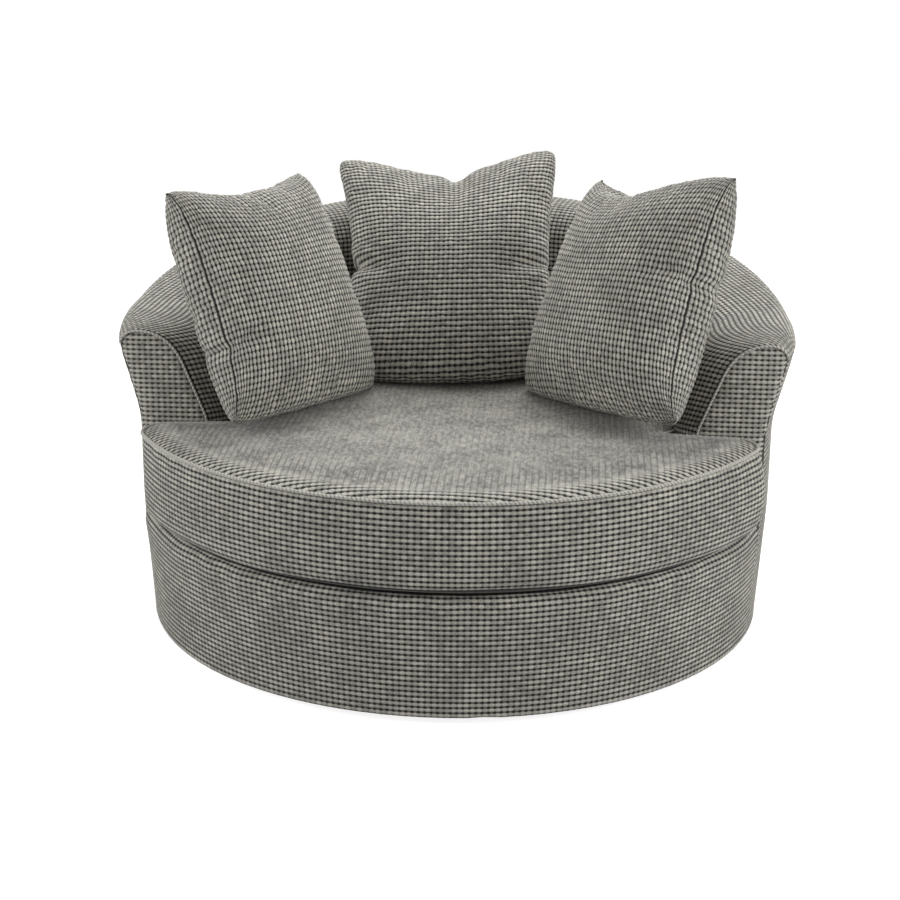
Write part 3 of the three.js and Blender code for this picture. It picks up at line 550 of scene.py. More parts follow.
def thicken(piece, wall, face, back):
    """Gives a sheet its materials, and its thickness behind its face"""
    piece.data.materials.append(face)
    piece.data.materials.append(back)
    wall_modifier = piece.modifiers.new("wall", "SOLIDIFY")
    wall_modifier.thickness = wall
    wall_modifier.offset = -1
    wall_modifier.material_offset = 1
    wall_modifier.material_offset_rim = 1
    apply_modifiers(piece)


def place_on(piece, body, node):
    """Lets a piece ride on a body in place of its CAD node"""
    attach(piece, body)
    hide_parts(node)


foam = cushion_foam()
lining = lining_cloth()


def pad_height(points, depth):
    return PAD_TOP - PAD_EDGE_DROP * np.exp(-depth / PAD_EDGE_REACH)


def lining_height(points, depth):
    """Sags between its staples, with faint ripples away from its edge"""
    ripple = LINING_RIPPLE * np.sin(points[:, 0] * 61 + points[:, 1] * 23)
    return (DECK_LEVEL - LINING_DROP - CLOTH_SAG * (1 - np.exp(-depth / 0.12))
            + ripple * (1 - np.exp(-depth / 0.03)))


pad_outline = seat_outline(PAD_RADIUS, DECK_BACK_RADIUS, DECK_EAR_LINE, DECK_CORNER)
deck_pad = cut_cloth("deck_pad_foam", pad_outline, CLOTH_CELL, pad_height)
thicken(deck_pad, PAD_THICKNESS, foam, foam)
smooth(deck_pad)
place_on(deck_pad, "chair", "deck_pad")

cloth_outline = seat_outline(CLOTH_RADIUS, DECK_BACK_RADIUS, DECK_EAR_LINE, DECK_CORNER)
deck_cloth = cut_cloth("deck_lining", cloth_outline, CLOTH_CELL, lining_height)
thicken(deck_cloth, CLOTH_THICKNESS, lining, lining)
smooth(deck_cloth)
place_on(deck_cloth, "chair", "deck_cloth")

# Inside foam: one sheet of foam glued over the frame from the top rail down to the deck, which
# gives the arms and the back their round shoulder.
FOAM_VOXEL = 0.009
FOAM_EASE_IN = 0.006
SOLID_MERGE_REACH = 0.00005


def rounded(piece, voxel, ease_in, passes=0):
    """Rounds off the facets and corners of a foam piece, and draws its surface in"""
    remesh = piece.modifiers.new("remesh", "REMESH")
    remesh.mode = "VOXEL"
    remesh.voxel_size = voxel
    if passes:
        piece.modifiers.new("relax", "SMOOTH").iterations = passes
    shrink = piece.modifiers.new("shrink", "DISPLACE")
    shrink.mid_level = 0
    shrink.strength = -ease_in
    apply_modifiers(piece)
    smooth(piece, 80)


def rounded_foam(name, node, voxel, passes, body):
    """The foam that a CAD solid stands for, with round edges"""
    piece = bpy.data.objects.new(name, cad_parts[node].data.copy())
    bpy.context.scene.collection.objects.link(piece)
    piece.data.name = name
    piece.data.materials.clear()
    piece.data.materials.append(foam)
    edit_faces(piece, True)
    bpy.ops.mesh.remove_doubles(threshold=SOLID_MERGE_REACH)
    bpy.ops.object.mode_set(mode="OBJECT")
    rounded(piece, voxel, FOAM_EASE_IN, passes)
    place_on(piece, body, node)
    return piece


rounded_foam("barrel_foam", "inside_foam", FOAM_VOXEL, 4, "chair")

# Inside cover: waffle chenille, 12 mm from column to column and 10.5 mm from row to row. It is
# pulled up the inside from the deck and over the rolled rim, its rows level with the deck.
CELL = np.array([0.0120, 0.0105])
WAFFLE_STEPS = ((0.0, 0.5), (0.0, 0.30, 0.70))
RIDGE_TOP = 0.0007
ROW_DEPTH = 0.0024
COLUMN_DIP = 0.0006
OPEN_DIP = 0.0014
FLAT_TOP_DIP = 0.0010
ROWS_FADE = (0.05, 0.27)
SEAM_SINK = 0.0025
COVER_WALL = 0.0035
ARM_FACE = 0.190
ARM_LEVEL = 0.626
BACK_LEVEL = 0.769
RIM_RADIUS = 0.689
ROLL_WIDTH = 0.035
ROLL_DROP = 0.030
SHOULDER_REACH = 0.089
SHOULDER_DROP = 0.066
SHOULDER_LEAN = 0.025
BACK_PADDING = 0.050
WAIST_LEVEL = 0.450
INNER_WAIST_RADIUS = 0.523
WAIST_PADDING_SHARE = 0.25
INNER_DECK_RADIUS = 0.508
BARREL_FOOT = 0.2444
RISE_START = 0.04
RISE_BEND = 1.12
COLUMN_RADIUS = 0.620
ARM_LIFT = 0.024
LIFT_REACH = 0.110
ARM_PADDING = 0.090
PADDING_REACH = 0.055
ARM_BELLY = 0.076
BELLY_LEVEL = 0.500
FILL_START = 0.25
FILL_LENGTH = 0.45
CORNER_EASE_STEP = 0.002
CORNER_EASE_REACH = 9
BACK_FACES_LEFT = 0.12
SPECK = 1e-8
BUMP_TONE = (0.62, 0.595, 0.520, 1)
BUMP_COOL = (0.570, 0.555, 0.498, 1)
# Painted shade: the dark colours painted into the waffle's grooves and pits, which stand in for the shade in
# them.
PAINTED_GROOVE_SHADE = (0.088, 0.083, 0.072, 1)
PAINTED_PIT_SHADE = (0.006, 0.006, 0.005, 1)
BACKING_TONE = (0.42, 0.40, 0.36, 1)


def waffle_cloth(name, row_share=0.90, column_share=0.34, pit_share=0.97):
    """Waffle chenille. Each cell is a pale tuft; grooves run between the rows, fainter ones
    between the columns, and the cloth is deepest where they cross. Painted shade darkens the
    grooves, and most of all the pits where they cross. Where the mesh marks the top as
    flattened, the rows and pits are pressed flat first and their painted shade fades, the
    columns stay as faint lines of painted shade, and the tufts are painted darker in patches.
    Where it marks seams and creases, the cloth is drawn in, with a faint painted highlight at
    their edge and painted shade in their middle."""
    material, tree = blank_material(name)
    weave = add_node(tree, "ShaderNodeUVMap", uv_map="weave").outputs[0]
    flat_top, seam = (Shade(tree, add_node(tree, "ShaderNodeAttribute", attribute_name=mark).outputs["Fac"])
                     for mark in ("flat_top", "seam"))

    def from_groove(axis):
        off_middle = part_of(tree, weave, axis).calculate("FRACT") + -0.5
        return 0.5 - off_middle.calculate("ABSOLUTE")

    across = from_groove(0)
    up = from_groove(1)
    wide = across * 0.85
    corner = (wide * wide + up * up).calculate("SQRT")
    # On the flattened top the painted shade of the rows and pits fades out, and the columns' painted shade
    # grows so that they stay as faint lines.
    rows_left = flat_top.ease(*ROWS_FADE, 1.0, 0.05)
    drawn_columns = (flat_top * 1.5 + 1.0) * flat_top.ease(0.80, 1.0, 1.0, 0.35)
    pit = corner.ease(0.38, 0.18, 0.0, pit_share) * rows_left
    row = up.ease(0.33, 0.05, 0.0, row_share) * rows_left
    column = across.ease(0.21, 0.03, 0.0, column_share) * drawn_columns
    cell_number = add_node(tree, "ShaderNodeVectorMath", {0: weave}, operation="FLOOR").outputs[0]
    tuft = Shade(tree, add_node(tree, "ShaderNodeTexWhiteNoise", {"Vector": cell_number}).outputs["Value"])
    yarn = noise(tree, 1.0, (2.5, 9, 1), 3, weave)
    fuzz = noise(tree, 1300, detail=2)
    tone = tuft.ease(0.0, 1.0, -0.18, 0.15) + yarn.ease(0.3, 0.7, -0.24, 0.22)
    # On the flattened top the tufts vary less in tone, and below they are painted darker in patches.
    tone = tone * (1.0 - flat_top * 0.72) + noise(tree, 11, detail=4).ease(0.3, 0.7, -0.12, 0.12)
    nap = noise(tree, 420, detail=3) + noise(tree, 150, (1, 0.4, 1), 3)
    patch_darkening = flat_top.ease(0.0, 0.5) * nap.ease(0.75, 1.25, -0.72, -0.26)
    # A seam or crease mark paints a faint highlight along its edge.
    bright = tone + fuzz.ease(0.3, 0.7, -0.10, 0.10) + 1.0 + patch_darkening + seam.ease(0.05, 0.35, 0.0, 0.12)
    plain = noise(tree, 34, detail=4).ease(0.35, 0.65).blend(BUMP_TONE, BUMP_COOL)
    value = bright.add("ShaderNodeHueSaturation", {"Color": plain, "Value": bright})
    # Painted shade: the grooves take the groove shade; the pits, and the middle of a seam or crease mark,
    # take the pit shade.
    groove_shaded = row.calculate("MAXIMUM", column).blend(value, PAINTED_GROOVE_SHADE)
    colour = seam.ease(0.35, 0.75, 0.0, 0.94).blend(pit.blend(groove_shaded, PAINTED_PIT_SHADE), PAINTED_PIT_SHADE)
    dome = (across * up).calculate("SQRT") * 2.0 * rows_left
    height = dome + across * flat_top + (yarn + fuzz) * 0.35
    return finish_surface(material, colour, height, 0.0012, 0.95, sheen=0.25)


def fleece_backing():
    """The knitted back of the cloth, which shows only where a panel is turned over"""
    material, tree = blank_material("cloth_backing")
    loops = noise(tree, 700, (1, 1, 3), 2)
    # Painted shade between the knit's loops.
    colour = loops.ease(0.3, 0.7).blend(BACKING_TONE, PAINTED_GROOVE_SHADE)
    return finish_surface(material, colour, loops, 0.0006, 0.95, sheen=0.1)


def mark_points(piece, name, values):
    """Writes a number at each point of a sheet for the cloth's material to read"""
    marks = piece.data.attributes.new(name, "FLOAT", "POINT")
    marks.data.foreach_set("value", np.asarray(values, float))


def read_points(piece, name):
    if name in piece.data.attributes:
        return read_all(piece.data.attributes[name].data, "value")
    return np.zeros(len(piece.data.vertices))


def emboss(piece, dip):
    """Presses the waffle into a sheet: round ridges along the rows, dipped between the columns,
    and deep grooves between them, deepest where they cross"""
    weave = np.zeros((len(piece.data.vertices), 2))
    weave[corner_points(piece)] = read_all(piece.data.uv_layers["weave"].data, "uv", 2)
    off_line = 0.5 - np.abs(weave % 1 - 0.5)
    column = np.exp(-(off_line[:, 0] / 0.20) ** 2)
    flat_top = read_points(piece, "flat_top")
    flattened = np.clip((flat_top - ROWS_FADE[0]) / (ROWS_FADE[1] - ROWS_FADE[0]), 0, 1)
    row = np.exp(-(off_line[:, 1] / 0.19) ** 2) * (1 - 0.9 * flattened)
    dip = dip + FLAT_TOP_DIP * flattened
    height = RIDGE_TOP - ROW_DEPTH * row * (0.6 + 0.4 * column) - dip * column * (1 - row)
    height *= 1 - 0.5 * flat_top ** 3
    height -= SEAM_SINK * read_points(piece, "seam")
    normals = read_all(piece.data.vertices, "normal", 3)
    set_places(piece, get_places(piece) + normals * height[:, None])


def cover(piece, wall=COVER_WALL, cloth=None):
    """Makes a sheet the chair's cloth, embossed and thick, with few faces on its hidden back"""
    cloth = cloth or waffle
    emboss(piece, OPEN_DIP if cloth in (open_waffle, arm_waffle) else COLUMN_DIP)
    thicken(piece, wall, cloth, backing)
    edit_faces(piece, read_all(piece.data.polygons, "material_index", kind=int) == 1)
    bpy.ops.mesh.decimate(ratio=BACK_FACES_LEFT)
    bpy.ops.object.mode_set(mode="OBJECT")
    smooth(piece, 85)


def sweep_angle(radius, share):
    return share * (pi / 2 + np.arcsin(ARM_FACE / radius))


def rise_at(share):
    """The rim is level along each arm, then climbs quickly and eases off towards the back"""
    turn = 1 - sweep_angle(RIM_RADIUS, np.abs(share)) / (pi / 2)
    climb = np.clip((turn - RISE_START) / (1 - RISE_START), 0, 1)
    return np.sin(climb ** RISE_BEND * pi / 2)


def from_arm_end(share):
    return (1 - np.abs(share)) * RIM_RADIUS * (pi / 2 + asin(ARM_FACE / RIM_RADIUS))


def arm_lift(share):
    """How far the arm's top swells upwards behind the facing's piping"""
    return ARM_LIFT * (1 - np.exp(-from_arm_end(share) / LIFT_REACH)) * np.abs(share) ** 0.6


def arm_fill(share):
    """How much of its swell inwards the arm's padding has, none at the facing or at the back"""
    along_arm = np.clip((np.abs(share) - FILL_START) / FILL_LENGTH, 0, 1)
    return (1 - np.exp(-from_arm_end(share) / PADDING_REACH)) * along_arm ** 2 * (3 - 2 * along_arm)


def on_barrel(radius, share, level):
    angle = sweep_angle(radius, share)
    return np.stack([radius * np.sin(angle), radius * np.cos(angle), level], -1)


def run_along(line):
    """How far along a line each of its points is"""
    return np.concatenate([[0], np.cumsum(np.linalg.norm(np.diff(line, axis=0), axis=1))])


def points_at(marks, run, line):
    """The points of a line at marks of its run"""
    return np.stack([np.interp(marks, run, line[:, k]) for k in range(line.shape[1])], 1)


def even_steps(line):
    """The line as points an even step apart, with its corners eased"""
    run = run_along(line)
    even = points_at(np.linspace(0, run[-1], max(int(run[-1] / CORNER_EASE_STEP), 8)), run, line)
    first, last = even[:1], even[-1:]
    longer = np.concatenate([first.repeat(CORNER_EASE_REACH, 0), even, last.repeat(CORNER_EASE_REACH, 0)])
    kernel = np.hanning(2 * CORNER_EASE_REACH + 1)
    kernel /= kernel.sum()
    eased = np.stack([np.convolve(longer[:, k], kernel, "valid") for k in range(line.shape[1])], 1)
    return np.concatenate([first, eased[1:-1], last])


def inside_section(rise, lift=0.0, fill=0.0):
    """Radius and level from the roll's outer edge, over the rim and down to the deck"""
    top = ARM_LEVEL + (BACK_LEVEL - ARM_LEVEL) * rise + lift
    roll_height = ROLL_DROP + lift
    padding = BACK_PADDING * rise + ARM_PADDING * fill
    crest = RIM_RADIUS - ROLL_WIDTH
    turn = np.linspace(0, pi / 2, 12)
    roll = np.stack([crest + ROLL_WIDTH * np.cos(turn), top - roll_height * (1 - np.sin(turn))], 1)
    t = np.linspace(0, 1, 14)[1:, None]
    start = np.array([crest, top])
    pull = np.array([crest - SHOULDER_REACH - padding + SHOULDER_LEAN, top])
    end = np.array([crest - SHOULDER_REACH - padding, top - SHOULDER_DROP])
    shoulder = start * (1 - t) ** 2 + pull * 2 * t * (1 - t) + end * t ** 2
    waist = INNER_WAIST_RADIUS - BACK_PADDING * rise * WAIST_PADDING_SHARE - ARM_BELLY * fill
    foot = np.array([
        [end[0] + (waist - end[0]) * 0.55, BELLY_LEVEL],
        [waist, WAIST_LEVEL],
        [INNER_DECK_RADIUS, BARREL_FOOT],
    ])
    return even_steps(np.concatenate([roll, shoulder, foot]))


# Copies of the cloth with the painted shade of rows, columns and pits at different strengths: the open and
# arm copies have stronger column lines, and the faint-shade copy for the arm facings is shaded less all
# round.
waffle = waffle_cloth("waffle_chenille")
open_waffle = waffle_cloth("waffle_chenille_open", 0.74, 0.62)
arm_waffle = waffle_cloth("waffle_chenille_arm", 0.90, 0.70)
faint_shade_waffle = waffle_cloth("waffle_chenille_faint_shade", 0.62, 0.24, 0.86)
backing = fleece_backing()

fine_shares = np.linspace(-1, 1, 4001)
around = COLUMN_RADIUS * sweep_angle(COLUMN_RADIUS, fine_shares)
run = np.cumsum(np.hypot(np.gradient(around), np.gradient(ARM_PADDING * arm_fill(fine_shares))))
inside_columns = int(round(run[-1] / CELL[0]))
column_marks = np.linspace(run[0], run[-1], inside_columns * len(WAFFLE_STEPS[0]) + 1)
shares = np.interp(column_marks, run, fine_shares)
sections = [inside_section(rise_at(share), arm_lift(share), arm_fill(share)) for share in shares]
runs = [run_along(line) for line in sections]
inside_rows = int(np.ceil(max(run[-1] for run in runs) / CELL[1]))
inside_cover, across, up = new_cloth("barrel_inside_cover", inside_columns, inside_rows, *WAFFLE_STEPS)
places = np.empty((len(across), 3))
weave = np.empty((len(across), 2))
for index, share in enumerate(shares):
    mine = np.flatnonzero(across * len(WAFFLE_STEPS[0]) == index)
    run = runs[index]
    from_deck = np.minimum(up[mine] * CELL[1], run[-1])
    radius, level = points_at(run[-1] - from_deck, run, sections[index]).T
    places[mine] = on_barrel(radius, share, level)
    weave[mine] = np.stack([across[mine], from_deck / CELL[1]], 1)
lay_cloth(inside_cover, places, weave)
drop_faces(inside_cover, face_areas(inside_cover) < SPECK)
cover(inside_cover, cloth=arm_waffle)
place_on(inside_cover, "chair", "inside_cover")

# Outside cover: the same cloth round the outside of the barrel, its rows level with the floor,
# from the hem stapled under the base ring up to the seam under the roll, where it is trimmed.
DRUM_RADIUS = 0.651
HEM_RADIUS = 0.636
HEM_LEVEL = 0.015
BARREL_COLUMNS = 200
OUTSIDE_ROWS = 69
FLARE_SPREAD = 0.030
TRIM_GAP = 0.0004


def outside_radius(level, rise):
    """The radius of the outside at a level: hem, straight drum, then the flare up to the roll.
    It is the mean over a spread of levels, which rounds off the bends between them."""
    total = 0
    for shift in np.linspace(-FLARE_SPREAD, FLARE_SPREAD, 9):
        flare_end = ARM_LEVEL + (BACK_LEVEL - ARM_LEVEL) * rise - ROLL_DROP
        taper = np.clip((level + shift - HEM_LEVEL) / (DECK_LEVEL - HEM_LEVEL), 0, 1)
        flare = np.clip((level + shift - WAIST_LEVEL) / (flare_end - WAIST_LEVEL), 0, 1)
        total = total + (DRUM_RADIUS - HEM_RADIUS) * taper + (RIM_RADIUS - DRUM_RADIUS) * flare
    return HEM_RADIUS + total / 9


outside_cover, across, up = new_cloth("barrel_outside_cover", BARREL_COLUMNS, OUTSIDE_ROWS, *WAFFLE_STEPS)
share = across / BARREL_COLUMNS * 2 - 1
rise = rise_at(share)
edge_level = ARM_LEVEL + (BACK_LEVEL - ARM_LEVEL) * rise - ROLL_DROP - TRIM_GAP
level = np.minimum(HEM_LEVEL + up * CELL[1], edge_level)
places = on_barrel(outside_radius(level, rise), share, level)
lay_cloth(outside_cover, places, np.stack([across, (level - HEM_LEVEL) / CELL[1]], 1))
turn_over(outside_cover)
drop_faces(outside_cover, face_areas(outside_cover) < SPECK)
cover(outside_cover)
place_on(outside_cover, "chair", "outside_cover")

# Drum cover: the same cloth across the front below the seat cushion, from the hem over a padded
# shoulder to a lip that is stapled on the deck.
DRUM_FACE = 0.1903
DRUM_SHOULDER = 0.028
DRUM_PUCKER = 0.0016
DRUM_TOP_START = 0.17
DRUM_TOP_LENGTH = 0.07
PUCKER_LINE = 0.60
DRUM_SHADE = 0.010
SHADE_REACH = 0.006
COVER_LIP = 0.050
DRUM_COLUMNS = 138

shoulder_turn = np.linspace(0, pi / 2, 8)
shoulder_centre = np.array([DRUM_RADIUS - DRUM_SHOULDER, DECK_LEVEL - DRUM_SHOULDER])
shoulder_arc = shoulder_centre + DRUM_SHOULDER * np.stack([np.cos(shoulder_turn), np.sin(shoulder_turn)], 1)
drum_line = even_steps(np.concatenate([
    [[HEM_RADIUS, HEM_LEVEL]], shoulder_arc, [[DRUM_RADIUS - COVER_LIP, DECK_LEVEL]],
]))
drum_run = run_along(drum_line)
drum_rows = int(round(drum_run[-1] / CELL[1]))
drum_cover, across, up = new_cloth("drum_front_cover", DRUM_COLUMNS, drum_rows, *WAFFLE_STEPS)
radius, level = points_at(up / drum_rows * drum_run[-1], drum_run, drum_line).T
share = across / DRUM_COLUMNS * 2 - 1
angle = share * (pi / 2 - np.arcsin(DRUM_FACE / radius))
near_top = np.clip((level - DRUM_TOP_START) / DRUM_TOP_LENGTH, 0, 1)
on_shoulder = near_top * np.clip((radius - PUCKER_LINE) / 0.03, 0, 1)
radius = radius + DRUM_PUCKER * on_shoulder * (1 + np.sin(angle * 31 + 2 * np.sin(angle * 9)))
places = np.stack([radius * np.sin(angle), -radius * np.cos(angle), level], 1)
lay_cloth(drum_cover, places, np.stack([across, up], 1))
# Painted shade: the crease under the seat cushion is marked as a seam, which sinks the cloth a little and
# paints it dark there.
under_cushion = np.clip((DRUM_RADIUS - DRUM_SHADE - radius) / SHADE_REACH, 0, 1)
mark_points(drum_cover, "seam", near_top * under_cushion)
cover(drum_cover)
place_on(drum_cover, "chair", "drum_cover")

# Arm facings: a panel of the cloth closes each end of the barrel, over a thin wadding, with its
# columns upright. It is sewn to the outside cover along its outer edge.
FACING_BACK = 0.1903
FACING_PLUMP = 0.010
FACING_EDGE_REACH = 0.006
FACING_INSET = 0.0015
SEAT_BOTTOM = 0.2623
FACING_CELL = np.array([0.0118, 0.0098])
FACING_FOOT = SEAT_BOTTOM - 0.012
SIDES = (("left", -1), ("right", 1))


def arm_section():
    """The arm's end in its own plane, as distance from the middle and level, outside first"""
    levels = np.linspace(FACING_FOOT, ARM_LEVEL - ROLL_DROP, 40)
    outer = np.stack([outside_radius(levels, 0.0), levels], 1)
    inner = inside_section(0.0)
    inner = inner[inner[:, 1] > FACING_FOOT]
    line = np.concatenate([outer, inner[1:]])
    across = np.sqrt(line[:, 0] ** 2 - ARM_FACE ** 2)
    return np.stack([across, line[:, 1]], 1)


def unit(vectors):
    return vectors / np.linalg.norm(vectors, axis=1, keepdims=True)


def inset_line(line, distance):
    """The open line moved to its left by a distance"""
    along = unit(np.gradient(line, axis=0))
    return line + distance * np.stack([-along[:, 1], along[:, 0]], 1)


def facing_height(points, depth):
    return FACING_PLUMP * (1 - np.exp(-depth / FACING_EDGE_REACH))


arm_line = arm_section()
for side_name, side in SIDES:
    outline = inset_line(arm_line, FACING_INSET) * np.array([side, 1])
    facing = cut_cloth(f"arm_front_{side_name}", outline, FACING_CELL, facing_height, -FACING_BACK,
                       start=(0.5 * FACING_CELL[0] * side, SEAT_BOTTOM), steps=WAFFLE_STEPS)
    cover(facing, cloth=faint_shade_waffle)
    place_on(facing, "chair", f"arm_facing_{side_name}")

# Piping: thin cord covered in the same cloth cut on the bias, sewn into the seams. Along
# each arm's end it runs over the roll and down the inside.
PIPING_TONE = (0.66, 0.64, 0.58, 1)
ARM_PIPING_RADIUS = 0.0028
CORD_FRONT = -FACING_BACK - ARM_PIPING_RADIUS - 0.004
PIPING_SIDES = 10
PIPING_RIDGE = 0.0006
PIPING_PITCH = 0.0080
RINGS_PER_RIDGE = 4
END_SHARE = 0.2


def piping_cloth():
    """Bias-cut cloth drawn tight over a cord: pale slanting ridges, with painted shade between"""
    material, tree = blank_material("piping_cloth")
    weave = add_node(tree, "ShaderNodeUVMap", uv_map="weave").outputs[0]
    slant = part_of(tree, weave, 0) + part_of(tree, weave, 1)
    off_middle = (slant.calculate("FRACT") + -0.5).calculate("ABSOLUTE")
    fuzz = noise(tree, 1300, detail=2)
    yarn = noise(tree, 1.0, (4, 6, 1), 3, weave)
    bright = yarn.ease(0.3, 0.7, 0.82, 1.12) + fuzz.ease(0.3, 0.7, -0.1, 0.1)
    value = bright.add("ShaderNodeHueSaturation", {"Color": PIPING_TONE, "Value": bright})
    colour = off_middle.ease(0.30, 0.5, 0.0, 0.7).blend(value, PAINTED_GROOVE_SHADE)
    height = off_middle.ease(0.5, 0.1) + fuzz * 0.3
    return finish_surface(material, colour, height, 0.0006, 0.95, sheen=0.25)


def covered_cord(name, path, radius, ridge, pitch, closed, sides=PIPING_SIDES, slant=1):
    """A round cord along a path, with ridges that wind round it, laid from a flat sheet"""
    line = np.asarray(path, float)
    if closed:
        line = np.concatenate([line, line[:1]])
    run = run_along(line)
    rings = max(int(round(run[-1] / pitch)), 2) * RINGS_PER_RIDGE
    middle = points_at(np.linspace(0, run[-1], rings + 1), run, line)
    if closed:
        ahead = np.roll(middle[:-1], -1, 0) - np.roll(middle[:-1], 1, 0)
        ahead = unit(np.concatenate([ahead, ahead[:1]]))
    else:
        ahead = unit(np.gradient(middle, axis=0))
    flat_normal = np.linalg.svd(middle - middle.mean(0), full_matrices=False)[2][2]
    out = unit(np.cross(ahead, flat_normal))
    lift = np.cross(out, ahead)
    piece, across, up = new_cloth(name, rings, sides)
    ring = across.astype(int)
    turn = up / sides * 2 * pi
    wound = np.stack([across / RINGS_PER_RIDGE, slant * up / sides], 1)
    reach = radius - ridge / 2 - ridge / 2 * np.cos(wound.sum(1) * 2 * pi)
    if not closed:
        reach = np.where((ring == 0) | (ring == rings), radius * END_SHARE, reach)
    places = (middle[ring] + (np.cos(turn) * reach)[:, None] * out[ring]
              + (np.sin(turn) * reach)[:, None] * lift[ring])
    lay_cloth(piece, places, wound)
    drop_faces(piece, False)
    bpy.ops.object.mode_set(mode="EDIT")
    if not closed:
        bpy.ops.mesh.select_mode(type="EDGE")
        bpy.ops.mesh.select_all(action="DESELECT")
        bpy.ops.mesh.select_non_manifold()
        bpy.ops.mesh.edge_face_add()
    bpy.ops.mesh.select_all(action="SELECT")
    bpy.ops.mesh.normals_make_consistent(inside=False)
    bpy.ops.object.mode_set(mode="OBJECT")
    smooth(piece, 70)
    return piece


piping = piping_cloth()
arm_edge = inset_line(arm_line, ARM_PIPING_RADIUS)
over_roll = arm_edge[np.argmax(arm_line[:, 1] >= ARM_LEVEL - ROLL_DROP):]
over_roll = over_roll[over_roll[:, 1] > SEAT_BOTTOM + ARM_PIPING_RADIUS]
for side_name, side in SIDES:
    path = np.stack([over_roll[:, 0] * side, np.full(len(over_roll), CORD_FRONT), over_roll[:, 1]], 1)
    arm_piping = covered_cord(f"arm_piping_cord_{side_name}", path, ARM_PIPING_RADIUS, PIPING_RIDGE,
                              PIPING_PITCH, False)
    arm_piping.data.materials.append(piping)
    place_on(arm_piping, "chair", f"arm_piping_{side_name}")

# Dust cover: black lining stapled under the cross rails round the swivel, to close the bottom.
DUST_SAG = 0.003
DUST_INNER_RADIUS = 0.151
DUST_RINGS = 22
DUST_SPOKES = 72

dust_low, dust_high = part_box("dust_cover")
dust_cover, across, up = new_cloth("bottom_lining", DUST_SPOKES, DUST_RINGS)
turn = -across / DUST_SPOKES * 2 * pi
radius = DUST_INNER_RADIUS + (dust_high.x - DUST_INNER_RADIUS) * up / DUST_RINGS
sag = DUST_SAG * np.sin(up / DUST_RINGS * pi) * (0.7 + 0.3 * np.cos(turn * 4))
places = np.stack([radius * np.cos(turn), radius * np.sin(turn), dust_high.z - sag], 1)
lay_cloth(dust_cover, places, np.stack([across, up], 1))
drop_faces(dust_cover, False)
thicken(dust_cover, dust_high.z - dust_low.z, lining, lining)
smooth(dust_cover)
place_on(dust_cover, "chair", "dust_cover")

# Seat cushion: a T-shaped box cushion, a crowned foam core in a cover of two panels and a band.
# The top's columns run from front to back. Only its top edge is piped; the zip is at the rear.
FIT_GAP = 0.0003
PIPING_RADIUS = 0.0036
CORD_CORNER = 0.7071
SEAT_FRONT_RADIUS = 0.664
SEAT_BACK_RADIUS = 0.486
EAR_BACK = 0.216
EAR_CORNER = 0.058
EAR_START = 0.45
EAR_LENGTH = 0.14
EAR_SWELL = (-0.004, 0.014)
ARM_SQUEEZE = 0.085
CORE_VOXEL = 0.014
CORE_SQUEEZE = 1.15 * ARM_SQUEEZE
CORE_SQUEEZE_START = 0.02
SEAT_THICKNESS = 0.175
SEAT_CROWN = 0.021
SEAT_BULGE = 0.007
SEAT_PUCKER = 0.0012
FOOT_DEPTH = 0.024
FOOT_HEIGHT = 0.034
FOOT_WANDER = 0.22
TUCK_MARK = 0.52
REAR_DROP = 0.012
REAR_DROP_START = -0.225
REAR_DROP_LENGTH = 0.08
FLAT_TOP_REACH = 0.075
FLAT_TOP_BEHIND = 0.9
FLAT_TOP_BEHIND_START = 0.05
UNDER_PIPING = 0.965
UNDER_PIPING_SHADE = 0.6
CUSHION_WALL = 0.003
SEAT_EDGE = SEAT_BOTTOM + SEAT_THICKNESS
BAND_ROWS = 17
SEAT_ZIP_LENGTH = 0.520
ZIP_RADIUS = 0.0026
ZIP_RIDGE = 0.0010
ZIP_PITCH = 0.0030
ZIP_STANDS_OUT = 0.0006
ZIP_POINTS = 60
SLIDER = (0.009, 0.007, 0.004)
SLIDER_SHIFT = 0.004
PULLER = (0.018, 0.004, 0.0012)
PULLER_SHIFT = -0.010

seat_core = rounded_foam("seat_core_foam", "seat_cushion_core", CORE_VOXEL, 3, "seat_cushion")
core_places = get_places(seat_core)
behind_arms = core_places[:, 1:2] + EAR_BACK
pressed = np.clip(behind_arms / CORE_SQUEEZE_START, 0, 1) * np.exp(-behind_arms / SQUEEZE_REACH)
core_places[:, :2] *= 1 - CORE_SQUEEZE * pressed
set_places(seat_core, core_places)


def even_outline(outline, count):
    """The closed outline as count points an even step apart, and which way is out at each"""
    ring = np.concatenate([outline, outline[:1]])
    run = run_along(ring)
    even = points_at(np.linspace(0, run[-1], count, endpoint=False), run, ring)
    ahead = unit(np.roll(even, -1, 0) - np.roll(even, 1, 0))
    out = np.stack([ahead[:, 1], -ahead[:, 0]], 1)
    for _ in range(3):
        out = unit(out + np.roll(out, 1, 0) + np.roll(out, -1, 0))
    return even, out, run[-1]


def edge_drop(points):
    """How far the cushion's top edge sinks behind the arms, where the barrel holds it down"""
    return REAR_DROP * np.clip((points[:, 1] - REAR_DROP_START) / REAR_DROP_LENGTH, 0, 1)


def seat_top(points, depth):
    """The crown over the foam: steep at the piping, nearly flat in the middle, a little uneven"""
    crown = 0.45 * (1 - np.exp(-depth / 0.012)) + 0.55 * (1 - np.exp(-depth / 0.042))
    uneven = 0.0016 * np.sin(points[:, 0] * 9 + 1) * np.cos(points[:, 1] * 7 + 0.4)
    sunk = edge_drop(points) * np.exp(-depth / 0.03)
    return SEAT_EDGE + SEAT_CROWN * crown + uneven * (1 - np.exp(-depth / 0.05)) - sunk


def seat_underside(points, depth):
    return SEAT_BOTTOM + 0.0006 * np.exp(-depth / 0.02)


